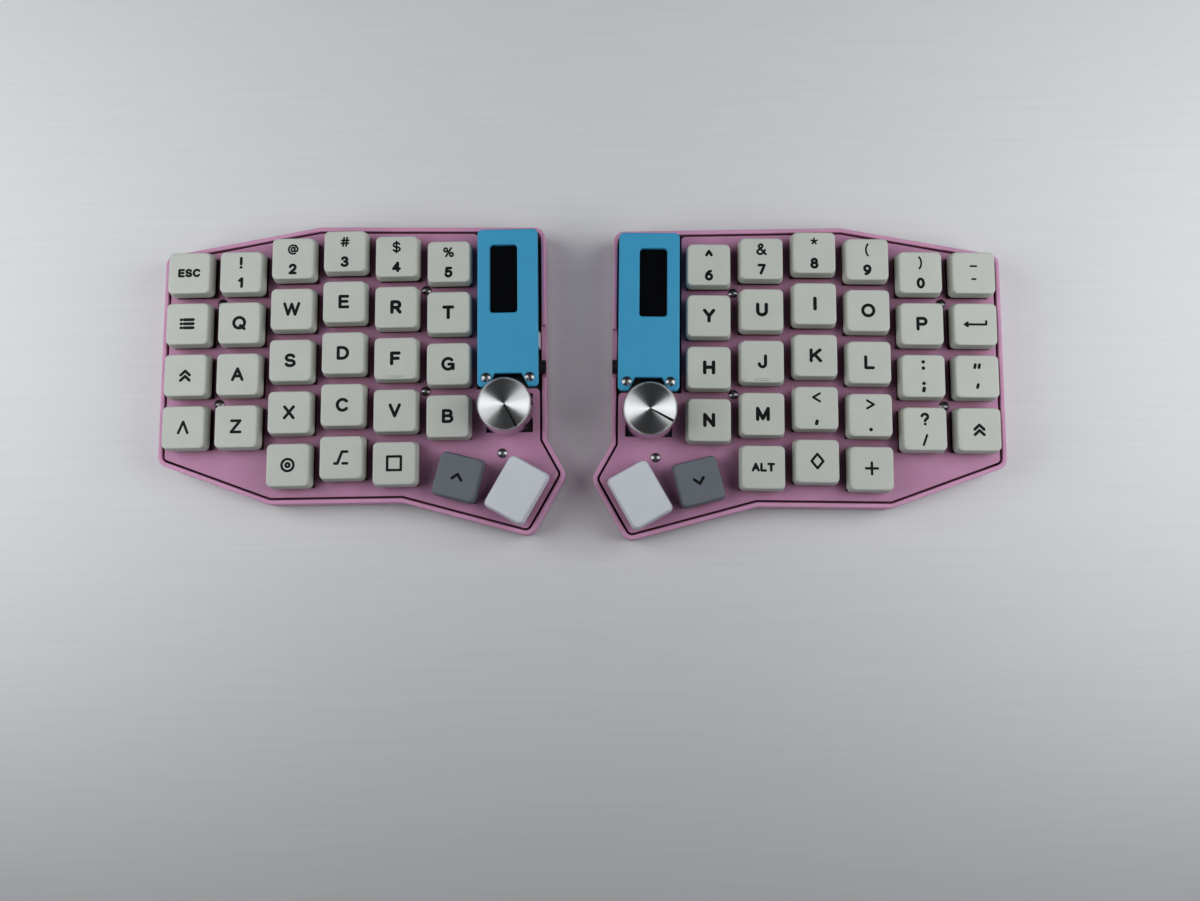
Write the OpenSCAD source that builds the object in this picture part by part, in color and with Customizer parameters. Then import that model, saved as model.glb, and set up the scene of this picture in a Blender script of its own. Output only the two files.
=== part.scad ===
// Split keyboard of two mirrored halves: low switches in staggered columns, two thumb keys,
// a knob and a small display under a cover on each half. Millimetres, +Z up, the user at -Y.
// Each half is drawn in its own frame: u runs inward from the outer column's keys, v away from the user.

/* [Key layout] */
// Distance between neighbouring key centres
pitch = 19.05; // [18.6:0.05:21]
// How far the ring finger's column stands behind the two outer columns
ring_stagger = 4.76; // [2:0.01:7]
// How far the middle finger's column stands behind the two outer columns
middle_stagger = 7.14; // [4:0.01:9]
// How far the index finger's column stands behind the two outer columns
index_stagger = 4.76; // [2:0.01:7]
// How far the innermost column stands behind the two outer columns
inner_stagger = 2.38; // [0:0.01:5]
// Free space between the two halves where they come nearest
half_gap = 10.2; // [6:0.1:60]
// How much nearer the user the right half stands than the left
half_offset = 1.8; // [0:0.1:10]
// Turn of each half in degrees, its outer end towards the user
half_turn = 0.8; // [-4:0.1:12]

/* [Thumb keys] */
// Step inward from the innermost column to the first thumb key
thumb_in = 3.45; // [2:0.05:6]
// Step towards the user from the lowest row to the first thumb key
thumb_down = 2.8; // [1:0.05:5]
// Turn of the first thumb key in degrees
thumb_turn = 15; // [8:1:18]
// Turn of the long thumb key in degrees
long_thumb_turn = 30; // [26:1:34]
// Space between the two thumb keycaps along the line of their centres
thumb_gap = 5; // [4.6:0.1:7.6]
// Fall in degrees of the line between the two thumb keys
thumb_fan = 13; // [10:1:16]
// Length of the long thumb key in key units
long_key_units = 1.25; // [1:0.05:1.4]

/* [Keycaps] */
// Thickness of a keycap's skirt
cap_wall = 1.1; // [0.8:0.05:1.4]
// Height of a keycap
cap_h = 4.2; // [3.6:0.1:6]
// Corner radius of a keycap
cap_r = 1.5; // [1.2:0.1:3]
// How far a keycap's side leans in over its height
cap_lean = 0.6; // [0.2:0.05:0.9]
// Bevel around the top of a keycap
cap_edge = 0.7; // [0.3:0.05:1.2]
// Space between a keycap's skirt and the switch housing
skirt_clear = 0.5; // [0.3:0.05:0.8]
// Length of the raised bar on the two homing keys
homing_bar_l = 4.5; // [3:0.1:6]
// Thickness of the raised bar on the two homing keys
homing_bar_d = 0.8; // [0.5:0.05:1.2]
// Distance of the raised bar from the keycap's front edge
homing_bar_front = 2.8; // [2.4:0.1:4]

/* [Switches] */
// Travel of a key
travel = 3; // [2.4:0.1:3.4]
// Width of the switch housing where it passes the plate
switch_w = 13.8; // [13.4:0.05:14]
// How far the housing's flange stands out over the plate
flange_over = 0.6; // [0.4:0.05:0.8]
// Thickness of the housing's flange
flange_t = 0.7; // [0.5:0.05:1]
// How far the housing draws in above its flange
switch_step = 0.3; // [0.1:0.05:0.6]
// Thickness of the housing's roof
roof_t = 0.6; // [0.5:0.05:0.9]
// Thickness of the housing's floor
switch_floor_t = 0.4; // [0.3:0.05:0.6]
// Length of the slider across the key
slider_l = 10; // [9:0.1:10.4]
// Width of the slider
slider_w = 4.6; // [4.2:0.1:5.6]
// How far the slider's foot stands out under the roof
slider_foot_over = 0.7; // [0.4:0.05:0.9]
// Thickness of the slider's foot
slider_foot_t = 0.6; // [0.4:0.05:0.8]
// Distance between the keycap's two prongs
prong_gap = 5.7; // [5.2:0.05:6]
// Thickness of a prong
prong_t = 1.2; // [1:0.05:1.4]
// Width of a prong
prong_w = 3; // [2.6:0.05:3.2]
// Length of a prong
prong_len = 2.8; // [2:0.1:3]
// Diameter of the housing's centre post
post_d = 3.2; // [2.8:0.1:3.6]
// Diameter of a contact pin
pin_d = 0.9; // [0.7:0.05:1.1]
// Distance of the front contact pin from the switch's centre
pin_front = 5.9; // [5.7:0.05:6]
// Distance of the side contact pin inward of the switch's centre
side_pin_in = 5; // [4.6:0.05:5.2]
// Distance of the side contact pin in front of the switch's centre
side_pin_front = 3.8; // [3.6:0.05:4]
// How far pins and posts reach below the circuit board
pin_below = 1; // [0.6:0.1:1.6]

/* [Case and plate] */
// Distance from the outer column's key centres to the plate's outer edge
side_margin = 10; // [9.6:0.1:14]
// Distance from the middle column's top key centre to the plate's rear edge
rear_margin = 9.8; // [9.4:0.1:14]
// Distance from the outer column's top key centre to the plate's rear corner
rear_corner_margin = 7.4; // [7.2:0.1:12]
// Distance from a lowest key's centre to the plate's front edge
front_margin = 11; // [10:0.1:15]
// How far inward of the ring finger's column the rear edge bends
rear_bend_in = 8; // [4:0.5:14]
// Fall of the rear edge from its bend to the inner corner
rear_fall = 1.8; // [0:0.1:4]
// How far inward of the index finger's column the front edge bends
front_bend_in = 1.6; // [0:0.1:5]
// Distance from the long thumb key's centre to the plate's edge beside it
thumb_margin = 9.8; // [9.4:0.1:13]
// How far behind the long thumb key's centre the thumb edge ends
thumb_edge_rear = 11.7; // [11:0.1:16]
// How far in front of the long thumb key's centre the thumb edge ends
thumb_edge_front = 8.9; // [8.6:0.1:13]
// How far behind the long thumb key's centre the inner side bends
inner_bend = 18.1; // [16:0.1:22]
// Corner radius of the plate
corner_r = 1.6; // [0.8:0.1:2.4]
// Thickness of the plate
plate_t = 1.2; // [1:0.05:1.6]
// Slit between the plate and the case
plate_gap = 0.75; // [0.2:0.05:0.8]
// Thickness of the case's wall
wall_t = 1.65; // [1.2:0.05:3]
// How far the case's rim stands above the plate
rim_rise = 0.3; // [0:0.05:1]
// Thickness of the case's floor
floor_t = 2.2; // [1.6:0.1:4]
// How far the dip in the case's inner wall starts before the jack
dip_before = 0.8; // [0.4:0.1:1.6]
// How far that dip runs past the reset switch
dip_past = 3; // [2:0.1:8]
// Depth of the dip in the case's inner wall
dip_depth = 1.6; // [0.8:0.1:2.2]
// Height of the rubber feet
foot_h = 1.6; // [1:0.1:4]
// Diameter of the rubber feet
foot_d = 9; // [6:0.5:12]
// Distance of a foot's centre from the plate's corner
foot_inset = 9; // [8:0.5:14]
// Space between the case's floor and the circuit board
board_clear = 3.2; // [2.6:0.1:6]
// Thickness of the circuit board
board_t = 1.6; // [1.2:0.1:2]
// Space between the circuit board's edge and the case's wall
board_gap = 0.8; // [0.6:0.1:1.5]
// Height of the plate's top above the circuit board
plate_rise = 2.2; // [2:0.05:2.6]

/* [Display bay] */
// Space between the cover and the nearest keys' side of the bay
cover_outer_gap = 1.1; // [0.6:0.1:2]
// How far the cover reaches over the plate in front of the bay
cover_over = 0.9; // [0.4:0.1:1.4]
// Thickness of the cover
cover_t = 1.5; // [1.2:0.1:3]
// Corner radius of the cover
cover_r = 1.8; // [1:0.1:2.4]
// Thickness of the cover's side walls
cover_wall_t = 1; // [0.8:0.05:1.3]
// How far the cover stands out over its side walls
cover_lip = 0.7; // [0.2:0.1:1]
// Distance from the plate's rear edge to the cover's rear edge
cover_rear = 1.1; // [0.6:0.1:2]
// Distance from the case's inner wall to the cover's side
cover_side_gap = 0.5; // [0.3:0.05:0.8]
// Length of the cover's inner side wall
cover_inner_wall_l = 26; // [16:0.5:32]
// Width of the window in the cover
window_w = 10; // [9:0.1:11.4]
// Length of the window in the cover
window_len = 25.4; // [22:0.1:27]
// Distance from the cover's rear edge to the window
window_rear = 5.9; // [4:0.1:8]
// Distance from the cover's outer side to the window
window_side = 4.5; // [4:0.1:5.4]
// Corner radius of the window
window_r = 1.2; // [0.5:0.1:1.5]
// Space between the knob and the head of the notch in the cover
notch_clear = 3; // [2:0.1:4]
// Width of each of the cover's ears beside the notch's head
ear_w = 6.15; // [5.6:0.05:6.6]
// Space between the knob and the cover's two ears
ear_clear = 0.7; // [0.4:0.05:1]
// Distance of the ear screws from the cover's sides
ear_screw_side = 3.2; // [2.8:0.05:3.4]
// Distance of the ear screws from the cover's front edge
ear_screw_front = 3.4; // [3:0.05:3.8]
// Width of the display board
display_w = 14; // [13:0.1:14.4]
// Length of the display board
display_len = 36; // [35:0.1:37]
// Distance from the cover's rear edge to the display board
display_rear = 2.5; // [1:0.1:3]
// Thickness of the display board
display_t = 1; // [0.8:0.1:1.6]
// Thickness of the display glass
glass_t = 1.2; // [0.8:0.1:1.6]
// Rim of the display board beside its glass
glass_rim = 0.6; // [0.3:0.1:1]
// How far the display glass reaches past the ends of the window
glass_over = 1.2; // [0.6:0.1:1.8]
// Space between the controller and the cover's walls
controller_side_gap = 0.3; // [0.2:0.1:1.4]
// Space between the controller and the reset switch
controller_gap = 3.9; // [1:0.1:5]
// Width of the controller board
controller_w = 18; // [17.4:0.1:18.4]
// Length of the controller board
controller_len = 33; // [31:0.1:34]
// Thickness of the controller board
controller_t = 1.2; // [1:0.1:1.6]
// Width of the controller's chip
chip_w = 7; // [5:0.1:9]
// Thickness of the controller's chip
chip_t = 1; // [0.8:0.1:1.4]
// Height and width of a header strip
header_w = 2.5; // [2:0.1:3]
// Distance of a header strip from the controller's side
header_inset = 0.13; // [0:0.01:0.4]
// Width of the charging socket
usb_w = 9; // [8.6:0.1:9.4]
// Length of the charging socket
usb_len = 7.4; // [6.6:0.1:8]
// Height of the charging socket
usb_h = 3.2; // [3:0.1:3.4]
// Wall of the charging socket
usb_wall = 0.3; // [0.2:0.05:0.4]

/* [Knob] */
// How far the knob reaches over the bay's front edge
knob_over = 1; // [0.6:0.1:1.4]
// Distance from the bay's outer side to the knob's centre
knob_side = 11.7; // [11:0.1:12.4]
// Diameter of the knob
knob_d = 19.4; // [16:0.1:19.8]
// Height of the knob
knob_h = 12; // [10:0.1:16]
// Number of ribs around the knob
knob_ribs = 80; // [48:2:96]
// Depth of the knob's ribs
rib_depth = 0.35; // [0.2:0.05:0.5]
// Distance of the ribs from the knob's top and bottom
rib_margin = 0.6; // [0.4:0.1:3]
// Bevel around the knob
knob_edge = 0.2; // [0.2:0.05:0.4]
// Width of the pointer slot
pointer_w = 0.9; // [0.6:0.1:1.4]
// Depth of the pointer slot
pointer_depth = 0.5; // [0.3:0.1:1]
// Direction of the left knob's pointer, degrees from +X
left_pointer = -61; // [-180:1:180]
// Direction of the right knob's pointer, degrees from +X
right_pointer = -29; // [-180:1:180]
// Distance that the knob can be pushed
push = 0.5; // [0.3:0.05:0.8]
// Space between the encoder's body and the knob
knob_lift = 0.9; // [0.9:0.1:3]
// Width of the encoder's body
encoder_w = 12; // [11:0.1:12.4]
// Height of the encoder's body
encoder_h = 6.5; // [5.5:0.1:7.5]
// Space beside the encoder in the plate's cut-out
encoder_cut_side = 2.5; // [1:0.1:2.8]
// Space behind the encoder in the plate's cut-out
encoder_cut_end = 0.9; // [0.6:0.1:1.1]
// Space before the encoder in the plate's cut-out
encoder_cut_front = 1.5; // [0.6:0.1:2]
// Wall of the encoder's bushing
bushing_wall = 0.45; // [0.4:0.05:1]
// Height of the encoder's bushing
bushing_h = 5; // [3:0.1:6]
// Diameter of the encoder's shaft
shaft_d = 6; // [5:0.1:6]
// Depth of the flat on the shaft
shaft_flat = 1.5; // [1:0.1:2]
// Space between the encoder's bushing and the knob's recess
recess_clear = 1; // [0.5:0.1:1.4]
// Thickness of the knob's top over its bore
knob_top_t = 1.6; // [1.2:0.1:2.5]

/* [Sockets and fasteners] */
// Space between the cable jack and the cover's standoff beside it
jack_gap = 2.2; // [2:0.1:6]
// How much nearer the user the left half's jack sits than the right half's
left_jack_step = 1.8; // [0:0.1:1.8]
// Length of the cable jack's body
jack_len = 12; // [10:0.1:12.4]
// Width of the cable jack's body
jack_w = 6; // [5.6:0.1:6.4]
// Diameter of the cable jack's round nose
jack_d = 5; // [4.8:0.1:5.4]
// Diameter of the cable jack's bore
jack_bore_d = 3.6; // [3.5:0.05:3.7]
// Thickness of the wall at the end of the cable jack's bore
jack_end_t = 1; // [0.6:0.1:3]
// Space between the cable jack and the reset switch
reset_gap = 2.2; // [1:0.1:4]
// How far the reset switch stands out over the circuit board's edge
reset_over = 0.4; // [0:0.05:0.5]
// Length of the reset switch
reset_len = 6; // [5.5:0.1:6.5]
// Width of the reset switch
reset_w = 3; // [2.6:0.1:3.4]
// Height of the reset switch
reset_h = 3.5; // [3:0.1:4.5]
// Length of the reset button
reset_button_len = 3; // [2.4:0.1:3.6]
// Width of the reset button
reset_button_w = 1.5; // [1.2:0.1:1.8]
// Height of the reset button above its switch
reset_button_h = 1; // [0.8:0.1:1.6]
// Depth of the reset switch's well for its button
reset_well = 1; // [0.8:0.1:2]
// Travel of the reset button
reset_travel = 0.25; // [0.15:0.05:0.4]
// Diameter of a screw's shank
screw_d = 1.9; // [1.6:0.1:2]
// Diameter of a screw's head
screw_head_d = 3.4; // [3:0.1:3.4]
// Height of a screw's head
screw_head_h = 0.9; // [0.7:0.05:1]
// Diameter of the flat on a screw's head
screw_flat_d = 2.3; // [1.8:0.1:2.6]
// Length of the cross recess in a screw's head
cross_len = 1.7; // [1.4:0.1:2.2]
// Width of the cross recess in a screw's head
cross_w = 0.4; // [0.3:0.05:0.6]
// Depth of the cross recess in a screw's head
cross_depth = 0.6; // [0.4:0.05:0.65]
// How far a plate screw reaches into its boss
screw_bite = 1.6; // [1:0.1:2.2]
// How far a cover screw reaches into its standoff
standoff_bite = 4.7; // [3:0.1:6]
// Outer diameter of the spacers and standoffs
spacer_d = 3.8; // [3.4:0.1:4]
// Outer diameter of the screw bosses in the case
boss_d = 5; // [4.4:0.1:5.2]
// How far behind the line between the thumb keys their screw stands
thumb_screw_rear = 12.5; // [12:0.1:13.5]

/* [Clearances] */
// Free space left when a key is fully down
press_clear = 0.2; // [0.1:0.05:0.4]
// Space around a slider in its housing
run_clear = 0.2; // [0.1:0.05:0.3]
// Space around a screw or the jack's nose where it passes a sheet or a wall
hole_clear = 0.2; // [0.15:0.05:0.3]
// Space around a fixed piece in its cut-out
seat_clear = 0.1; // [0.05:0.05:0.15]
// Radial space around the encoder's shaft and the keycap's prongs
fit_clear = 0.05; // [0.02:0.01:0.1]

/* [Hidden] */
$fn = 48;
// Overlap of fused shapes, and how far a cut runs past a surface
tiny = 0.01;
over = 1;
rows = 4;
columns = 6;
stagger = [0, 0, ring_stagger, middle_stagger, index_stagger, inner_stagger];
left_letters = [["q", "w", "e", "r", "t"], ["a", "s", "d", "f", "g"], ["z", "x", "c", "v", "b"]];
right_letters = [["y", "u", "i", "o", "p"], ["h", "j", "k", "l", "semicolon"],
                 ["n", "m", "comma", "period", "slash"]];
left_homing = "f";
right_homing = "j";
screw_turn = 45;

// Sizes that follow others
switch_top_w = switch_w - 2 * switch_step;
flange_w = switch_w + 2 * flange_over;
cap_w = switch_top_w + 2 * (skirt_clear + cap_wall);
thumb_step = cap_w + thumb_gap;
cover_w = controller_w + 2 * (controller_side_gap + cover_wall_t + cover_lip);
bay_w = cover_outer_gap + cover_w + cover_side_gap - plate_gap;
jack_front = ear_screw_front - cover_over + spacer_d / 2 + jack_gap + jack_w / 2;
reset_front = jack_front + jack_w / 2 + reset_gap + reset_len / 2;
bay_len = reset_front + reset_len / 2 + controller_gap + controller_len + cover_rear;
cover_len = bay_len - cover_rear + cover_over;
notch_w = cover_w - 2 * ear_w;
header_gap = controller_w - header_w - 2 * header_inset;
bushing_d = shaft_d + 2 * (fit_clear + bushing_wall);
jack_nose = plate_gap + wall_t;
jack_bore_len = jack_nose + jack_len - jack_end_t;

// Heights, from the table up
z_floor = foot_h + floor_t;
z_board = z_floor + board_clear;
z_board_top = z_board + board_t;
z_plate_top = z_board_top + plate_rise;
z_rim = z_plate_top + rim_rise;
z_well = z_board_top + switch_floor_t;
z_slider = z_well + press_clear / 2 + travel;
z_roof = z_slider + slider_foot_t + press_clear / 2;
z_housing_top = z_roof + roof_t;
z_slider_top = z_housing_top + travel + press_clear;
z_cap = z_plate_top + flange_t + travel + press_clear;
z_cap_seat = z_slider_top + fit_clear;
z_controller = z_board_top + header_w;
z_display = z_controller + controller_t + usb_h + press_clear;
z_glass_top = z_display + display_t + glass_t;
z_cover = z_glass_top + press_clear;
z_encoder_top = z_board_top + encoder_h;
z_knob = z_encoder_top + knob_lift;
z_knob_top = z_knob + knob_h;
z_shaft_top = z_knob_top - knob_top_t - push - press_clear;
z_shaft = z_board_top + switch_floor_t + press_clear;

// Places in a half's own frame
function key_at(c, r) = [c * pitch, stagger[c] - r * pitch];
function spin(p, a) = [p[0] * cos(a) - p[1] * sin(a), p[0] * sin(a) + p[1] * cos(a)];
thumb_at = key_at(columns - 1, rows) + [thumb_in, -thumb_down];
long_thumb_at = thumb_at + spin([thumb_step, 0], -thumb_fan);
bay_out = key_at(columns - 1, 0)[0] + pitch / 2;
bay_in = bay_out + bay_w;
rear_v = key_at(3, 0)[1] + rear_margin;
bay_rear = rear_v - rear_fall;
bay_front = bay_rear - bay_len;
front_v = key_at(2, rows)[1] - front_margin;
knob_at = [bay_out + knob_side, bay_front + knob_over - knob_d / 2];
cover_in = bay_in + plate_gap - cover_side_gap;
cover_at = [cover_in - cover_w, bay_rear - cover_rear];
cover_mid = cover_in - cover_w / 2;
function jack_at(side) = [bay_in, bay_front + jack_front - (side < 0 ? left_jack_step : 0)];
reset_at = [bay_in + plate_gap - board_gap + reset_over - reset_w / 2, bay_front + reset_front];
window_at = cover_at + [window_side + window_w / 2, -window_rear - window_len / 2];
controller_rear = cover_at[1];
function dip_start(side) = jack_at(side)[1] - jack_w / 2 - dip_before;
dip_end = bay_front + reset_front + reset_len / 2 + dip_past;
cover_front = cover_at[1] - cover_len;
pin_spots = [[0, -pin_front], [side_pin_in, -side_pin_front]];

// The cover's notch follows the knob: its depth, and half its width at the cover's front edge
notch_depth = knob_at[1] + knob_d / 2 + notch_clear - cover_front;
ear_reach = knob_d / 2 + ear_clear;
notch_front = abs(cover_mid - knob_at[0]) + sqrt(pow(ear_reach, 2) - pow(cover_front - knob_at[1], 2));

// Centres of the plate's rounded corners, from the outer rear corner round to the outer front one
corners = [
    [corner_r - side_margin, rear_corner_margin - corner_r],
    [key_at(2, 0)[0] + rear_bend_in, rear_v - corner_r],
    [bay_in - corner_r, bay_rear - corner_r],
    [bay_in - corner_r, long_thumb_at[1] + inner_bend],
    long_thumb_at + spin([thumb_margin - corner_r, thumb_edge_rear], -long_thumb_turn),
    long_thumb_at + spin([thumb_margin - corner_r, -thumb_edge_front], -long_thumb_turn),
    [key_at(4, 0)[0] + front_bend_in, front_v + corner_r],
    [key_at(2, 0)[0] - side_margin + corner_r, front_v + corner_r],
    [corner_r - side_margin, key_at(0, 3)[1] - front_margin + corner_r]
];
foot_corners = [0, 2, 5, 8];
half_middle = [(columns - 1) * pitch, (1 - rows) * pitch] / 2;
function foot_at(p) = p + foot_inset * (half_middle - p) / norm(half_middle - p);

// Screws stand where four keycaps meet, and behind the thumb keys
function between(a, b) = (a + b) / 2;
screw_spots = [
    between(key_at(0, 0), key_at(1, 1)),
    between(key_at(0, 2), key_at(1, 3)),
    between(key_at(columns - 2, 0), key_at(columns - 1, 1)),
    between(key_at(columns - 2, 2), key_at(columns - 1, 3)),
    between(thumb_at, long_thumb_at) + spin([0, thumb_screw_rear], -(thumb_turn + long_thumb_turn) / 2)
];
ear_spots = [
    [cover_at[0] + ear_screw_side, cover_front + ear_screw_front],
    [cover_in - ear_screw_side, cover_front + ear_screw_front]
];

// Every key of a half as [place, turn, length in units]
keys = concat(
    [for (c = [0:columns - 1], r = [0:rows - 1]) [key_at(c, r), 0, 1]],
    [for (c = [2:4]) [key_at(c, rows), 0, 1]],
    [[thumb_at, -thumb_turn, 1], [long_thumb_at, -long_thumb_turn, long_key_units]]
);

// The halves stand either side of the origin, the outline's middle at y = 0
function turned(p) = half_middle + spin(p - half_middle, half_turn);
corner_reach = corner_r + plate_gap + wall_t;
half_shift = max([for (p = corners) turned(p)[0]]) + corner_reach + half_gap / 2;
rear_reach = max([for (p = corners) turned(p)[1]]) + corner_reach;
front_reach = min([for (p = corners) turned(p)[1]]) - corner_reach;
middle_v = (rear_reach + front_reach) / 2;

// Carries a half's own frame to its place: side -1 is the left half, 1 the mirrored right half
module place(side) {
    translate([side * half_shift, -middle_v - side * half_offset / 2, 0])
        if (side < 0) turned_half() children();
        else mirror([1, 0, 0]) turned_half() children();
}

module turned_half() {
    at(half_middle, half_turn) at(-half_middle) children();
}

module both() {
    place(-1) children();
    place(1) children();
}

// Moves to a place in a half's frame and turns there
module at(p, turn = 0) {
    translate([p[0], p[1], 0]) rotate(turn) children();
}

// Box centred on the axis, between two heights
module block(w, l, z_low, z_high) {
    translate([-w / 2, -l / 2, z_low]) cube([w, l, z_high - z_low]);
}

// Upright cylinder between two heights
module post(d, z_low, z_high) {
    translate([0, 0, z_low]) cylinder(d = d, h = z_high - z_low);
}

module rounded(w, l, r) {
    square([w - 2 * r, l], center = true);
    square([w, l - 2 * r], center = true);
    for (x = [-1, 1], y = [-1, 1])
        translate([x * (w / 2 - r), y * (l / 2 - r)]) circle(r);
}

// The plate's outline, grown by a margin
module outline(margin) {
    offset(r = corner_r + margin) polygon(corners);
}

// Slab of the outline between two heights
module slab(margin, z_low, z_high) {
    translate([0, 0, z_low]) linear_extrude(z_high - z_low) outline(margin);
}

// Tray with a screw boss under each plate screw, a dip in its inner wall and a notch for the jack's nose
module case_tray(side) {
    difference() {
        union() {
            difference() {
                slab(plate_gap + wall_t, foot_h, z_rim);
                slab(plate_gap, z_floor, z_rim + over);
            }
            for (p = screw_spots) at(p) post(boss_d, z_floor - tiny, z_board);
        }
        for (p = screw_spots) at(p) post(screw_d + 2 * seat_clear, z_floor, z_board + over);
        at(jack_at(side) + [plate_gap + wall_t / 2, 0])
            block(wall_t + over, jack_d + 2 * hole_clear, z_board_top - seat_clear, z_rim + over);
        translate([bay_in + plate_gap - over, dip_start(side), z_rim - dip_depth])
            cube([wall_t + 2 * over, dip_end - dip_start(side), dip_depth + over]);
    }
}

// The plate's outline without the display bay, its outer corners rounded
module plate_outline() {
    offset(r = corner_r) offset(delta = -corner_r) difference() {
        outline(0);
        translate([bay_out, bay_front]) square([bay_w + over, bay_len + over]);
    }
}

module switch_plate() {
    hole_w = switch_w + 2 * seat_clear;
    low = z_plate_top - plate_t;
    difference() {
        translate([0, 0, low]) linear_extrude(plate_t) plate_outline();
        for (k = keys) at(k[0], k[1]) block(hole_w, hole_w, low - over, z_plate_top + over);
        for (p = screw_spots) at(p) post(screw_d + 2 * hole_clear, low - over, z_plate_top + over);
        at(knob_at - [0, (encoder_cut_front - encoder_cut_end) / 2])
            block(encoder_w + 2 * encoder_cut_side, encoder_w + encoder_cut_front + encoder_cut_end,
                  low - over, z_plate_top + over);
    }
}

module circuit_board() {
    difference() {
        slab(plate_gap - board_gap, z_board, z_board_top);
        for (k = keys) at(k[0], k[1]) {
            post(post_d + 2 * seat_clear, z_board - over, z_board_top + over);
            for (p = pin_spots) at(p) post(pin_d + 2 * seat_clear, z_board - over, z_board_top + over);
        }
        for (p = screw_spots) at(p) post(screw_d + 2 * hole_clear, z_board - over, z_board_top + over);
    }
}

module switch_housing() {
    foot_l = slider_l + 2 * slider_foot_over + 2 * run_clear;
    foot_w = slider_w + 2 * slider_foot_over + 2 * run_clear;
    difference() {
        union() {
            block(switch_w, switch_w, z_board_top, z_plate_top + tiny);
            block(flange_w, flange_w, z_plate_top, z_plate_top + flange_t);
            block(switch_top_w, switch_top_w, z_plate_top, z_housing_top);
            post(post_d, z_board - pin_below, z_board_top + tiny);
            for (p = pin_spots) at(p) post(pin_d, z_board - pin_below, z_board_top + tiny);
        }
        block(foot_l, foot_w, z_well, z_roof);
        block(slider_l + 2 * run_clear, slider_w + 2 * run_clear, z_roof - tiny, z_housing_top + over);
    }
}

// Slider with a foot under the housing's roof and two slots for the keycap's prongs
module slider() {
    slot_deep = prong_len + press_clear;
    difference() {
        union() {
            block(slider_l, slider_w, z_slider, z_slider_top);
            block(slider_l + 2 * slider_foot_over, slider_w + 2 * slider_foot_over,
                  z_slider, z_slider + slider_foot_t);
        }
        for (side = [-1, 1]) translate([side * prong_gap / 2, 0, 0])
            block(prong_t + 2 * fit_clear, prong_w + 2 * fit_clear,
                  z_slider_top - slot_deep, z_slider_top + over);
    }
}

// Side view of a keycap of a given width: leaning sides and a bevelled top
module cap_profile(w) {
    top = w / 2 - cap_lean;
    polygon([[-w / 2, 0], [w / 2, 0], [top, cap_h - cap_edge], [top - cap_edge, cap_h],
             [cap_edge - top, cap_h], [-top, cap_h - cap_edge]]);
}

module keycap(units, homing) {
    l = cap_w + (units - 1) * pitch;
    difference() {
        translate([0, 0, z_cap]) union() {
            intersection() {
                linear_extrude(cap_h) rounded(cap_w, l, cap_r);
                translate([0, l / 2, 0]) rotate([90, 0, 0]) linear_extrude(l) cap_profile(cap_w);
                translate([-cap_w / 2, 0, 0]) rotate([90, 0, 90]) linear_extrude(cap_w) cap_profile(l);
            }
            if (homing)
                translate([-homing_bar_l / 2, homing_bar_front - l / 2, cap_h])
                    rotate([0, 90, 0]) cylinder(d = homing_bar_d, h = homing_bar_l);
        }
        block(cap_w - 2 * cap_wall, l - 2 * cap_wall, z_cap - over, z_cap_seat);
    }
    for (side = [-1, 1]) translate([side * prong_gap / 2, 0, 0])
        block(prong_t, prong_w, z_slider_top - prong_len, z_cap_seat + tiny);
}

// One key: its keycap and the switch's slider
module key(side, p, turn = 0, units = 1, homing = false, shade = "#c4c8c2") {
    place(side) at(p, turn) {
        color(shade) keycap(units, homing);
        color("saddlebrown") slider();
    }
}

module number_keys(side) {
    for (c = [0:columns - 1]) key(side, key_at(c, 0));
}

// The outer column below the number row, and the three keys under the letters
module modifier_keys(side) {
    for (r = [1:rows - 1]) key(side, key_at(0, r));
    for (c = [2:4]) key(side, key_at(c, rows));
}

module layer_key(side) {
    key(side, thumb_at, -thumb_turn, shade = "#5c646c");
}

module space_key(side) {
    key(side, long_thumb_at, -long_thumb_turn, long_key_units, shade = "#d4d8de");
}

// Lid over the controller: window, notch for the knob, two ears and side walls on the board
module display_cover() {
    mid_v = cover_at[1] - cover_len / 2;
    difference() {
        union() {
            translate([cover_mid, mid_v, z_cover])
                linear_extrude(cover_t) rounded(cover_w, cover_len, cover_r);
            translate([cover_at[0] + cover_lip, cover_front + cover_r + notch_depth, z_board_top])
                cube([cover_wall_t, cover_len - 2 * cover_r - notch_depth, z_cover - z_board_top + tiny]);
            translate([cover_in - cover_lip - cover_wall_t, cover_at[1] - cover_r - cover_inner_wall_l,
                       z_board_top])
                cube([cover_wall_t, cover_inner_wall_l, z_cover - z_board_top + tiny]);
        }
        translate([window_at[0], window_at[1], z_cover - over])
            linear_extrude(cover_t + 2 * over) rounded(window_w, window_len, window_r);
        translate([cover_mid, cover_front, z_cover - over]) linear_extrude(cover_t + 2 * over)
            polygon([[-notch_w / 2, notch_depth], [notch_w / 2, notch_depth], [notch_front, 0],
                     [notch_front, -over], [-notch_front, -over], [-notch_front, 0]]);
        for (p = ear_spots) at(p) post(screw_d + 2 * hole_clear, z_cover - over, z_cover + cover_t + over);
    }
}

// Display board, its glass in the cover's window and the header that holds it up
module display_module() {
    rear = cover_at[1] - display_rear;
    header_v = rear - display_len + header_w / 2;
    color("darkgreen") at([window_at[0], rear - display_len / 2])
        block(display_w, display_len, z_display, z_display + display_t);
    color("black") at(window_at)
        block(display_w - 2 * glass_rim, window_len + 2 * glass_over,
              z_display + display_t + fit_clear, z_glass_top);
    color("dimgray") at([window_at[0], header_v])
        block(display_w - header_w, header_w, z_board_top, z_display - fit_clear);
}

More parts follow.
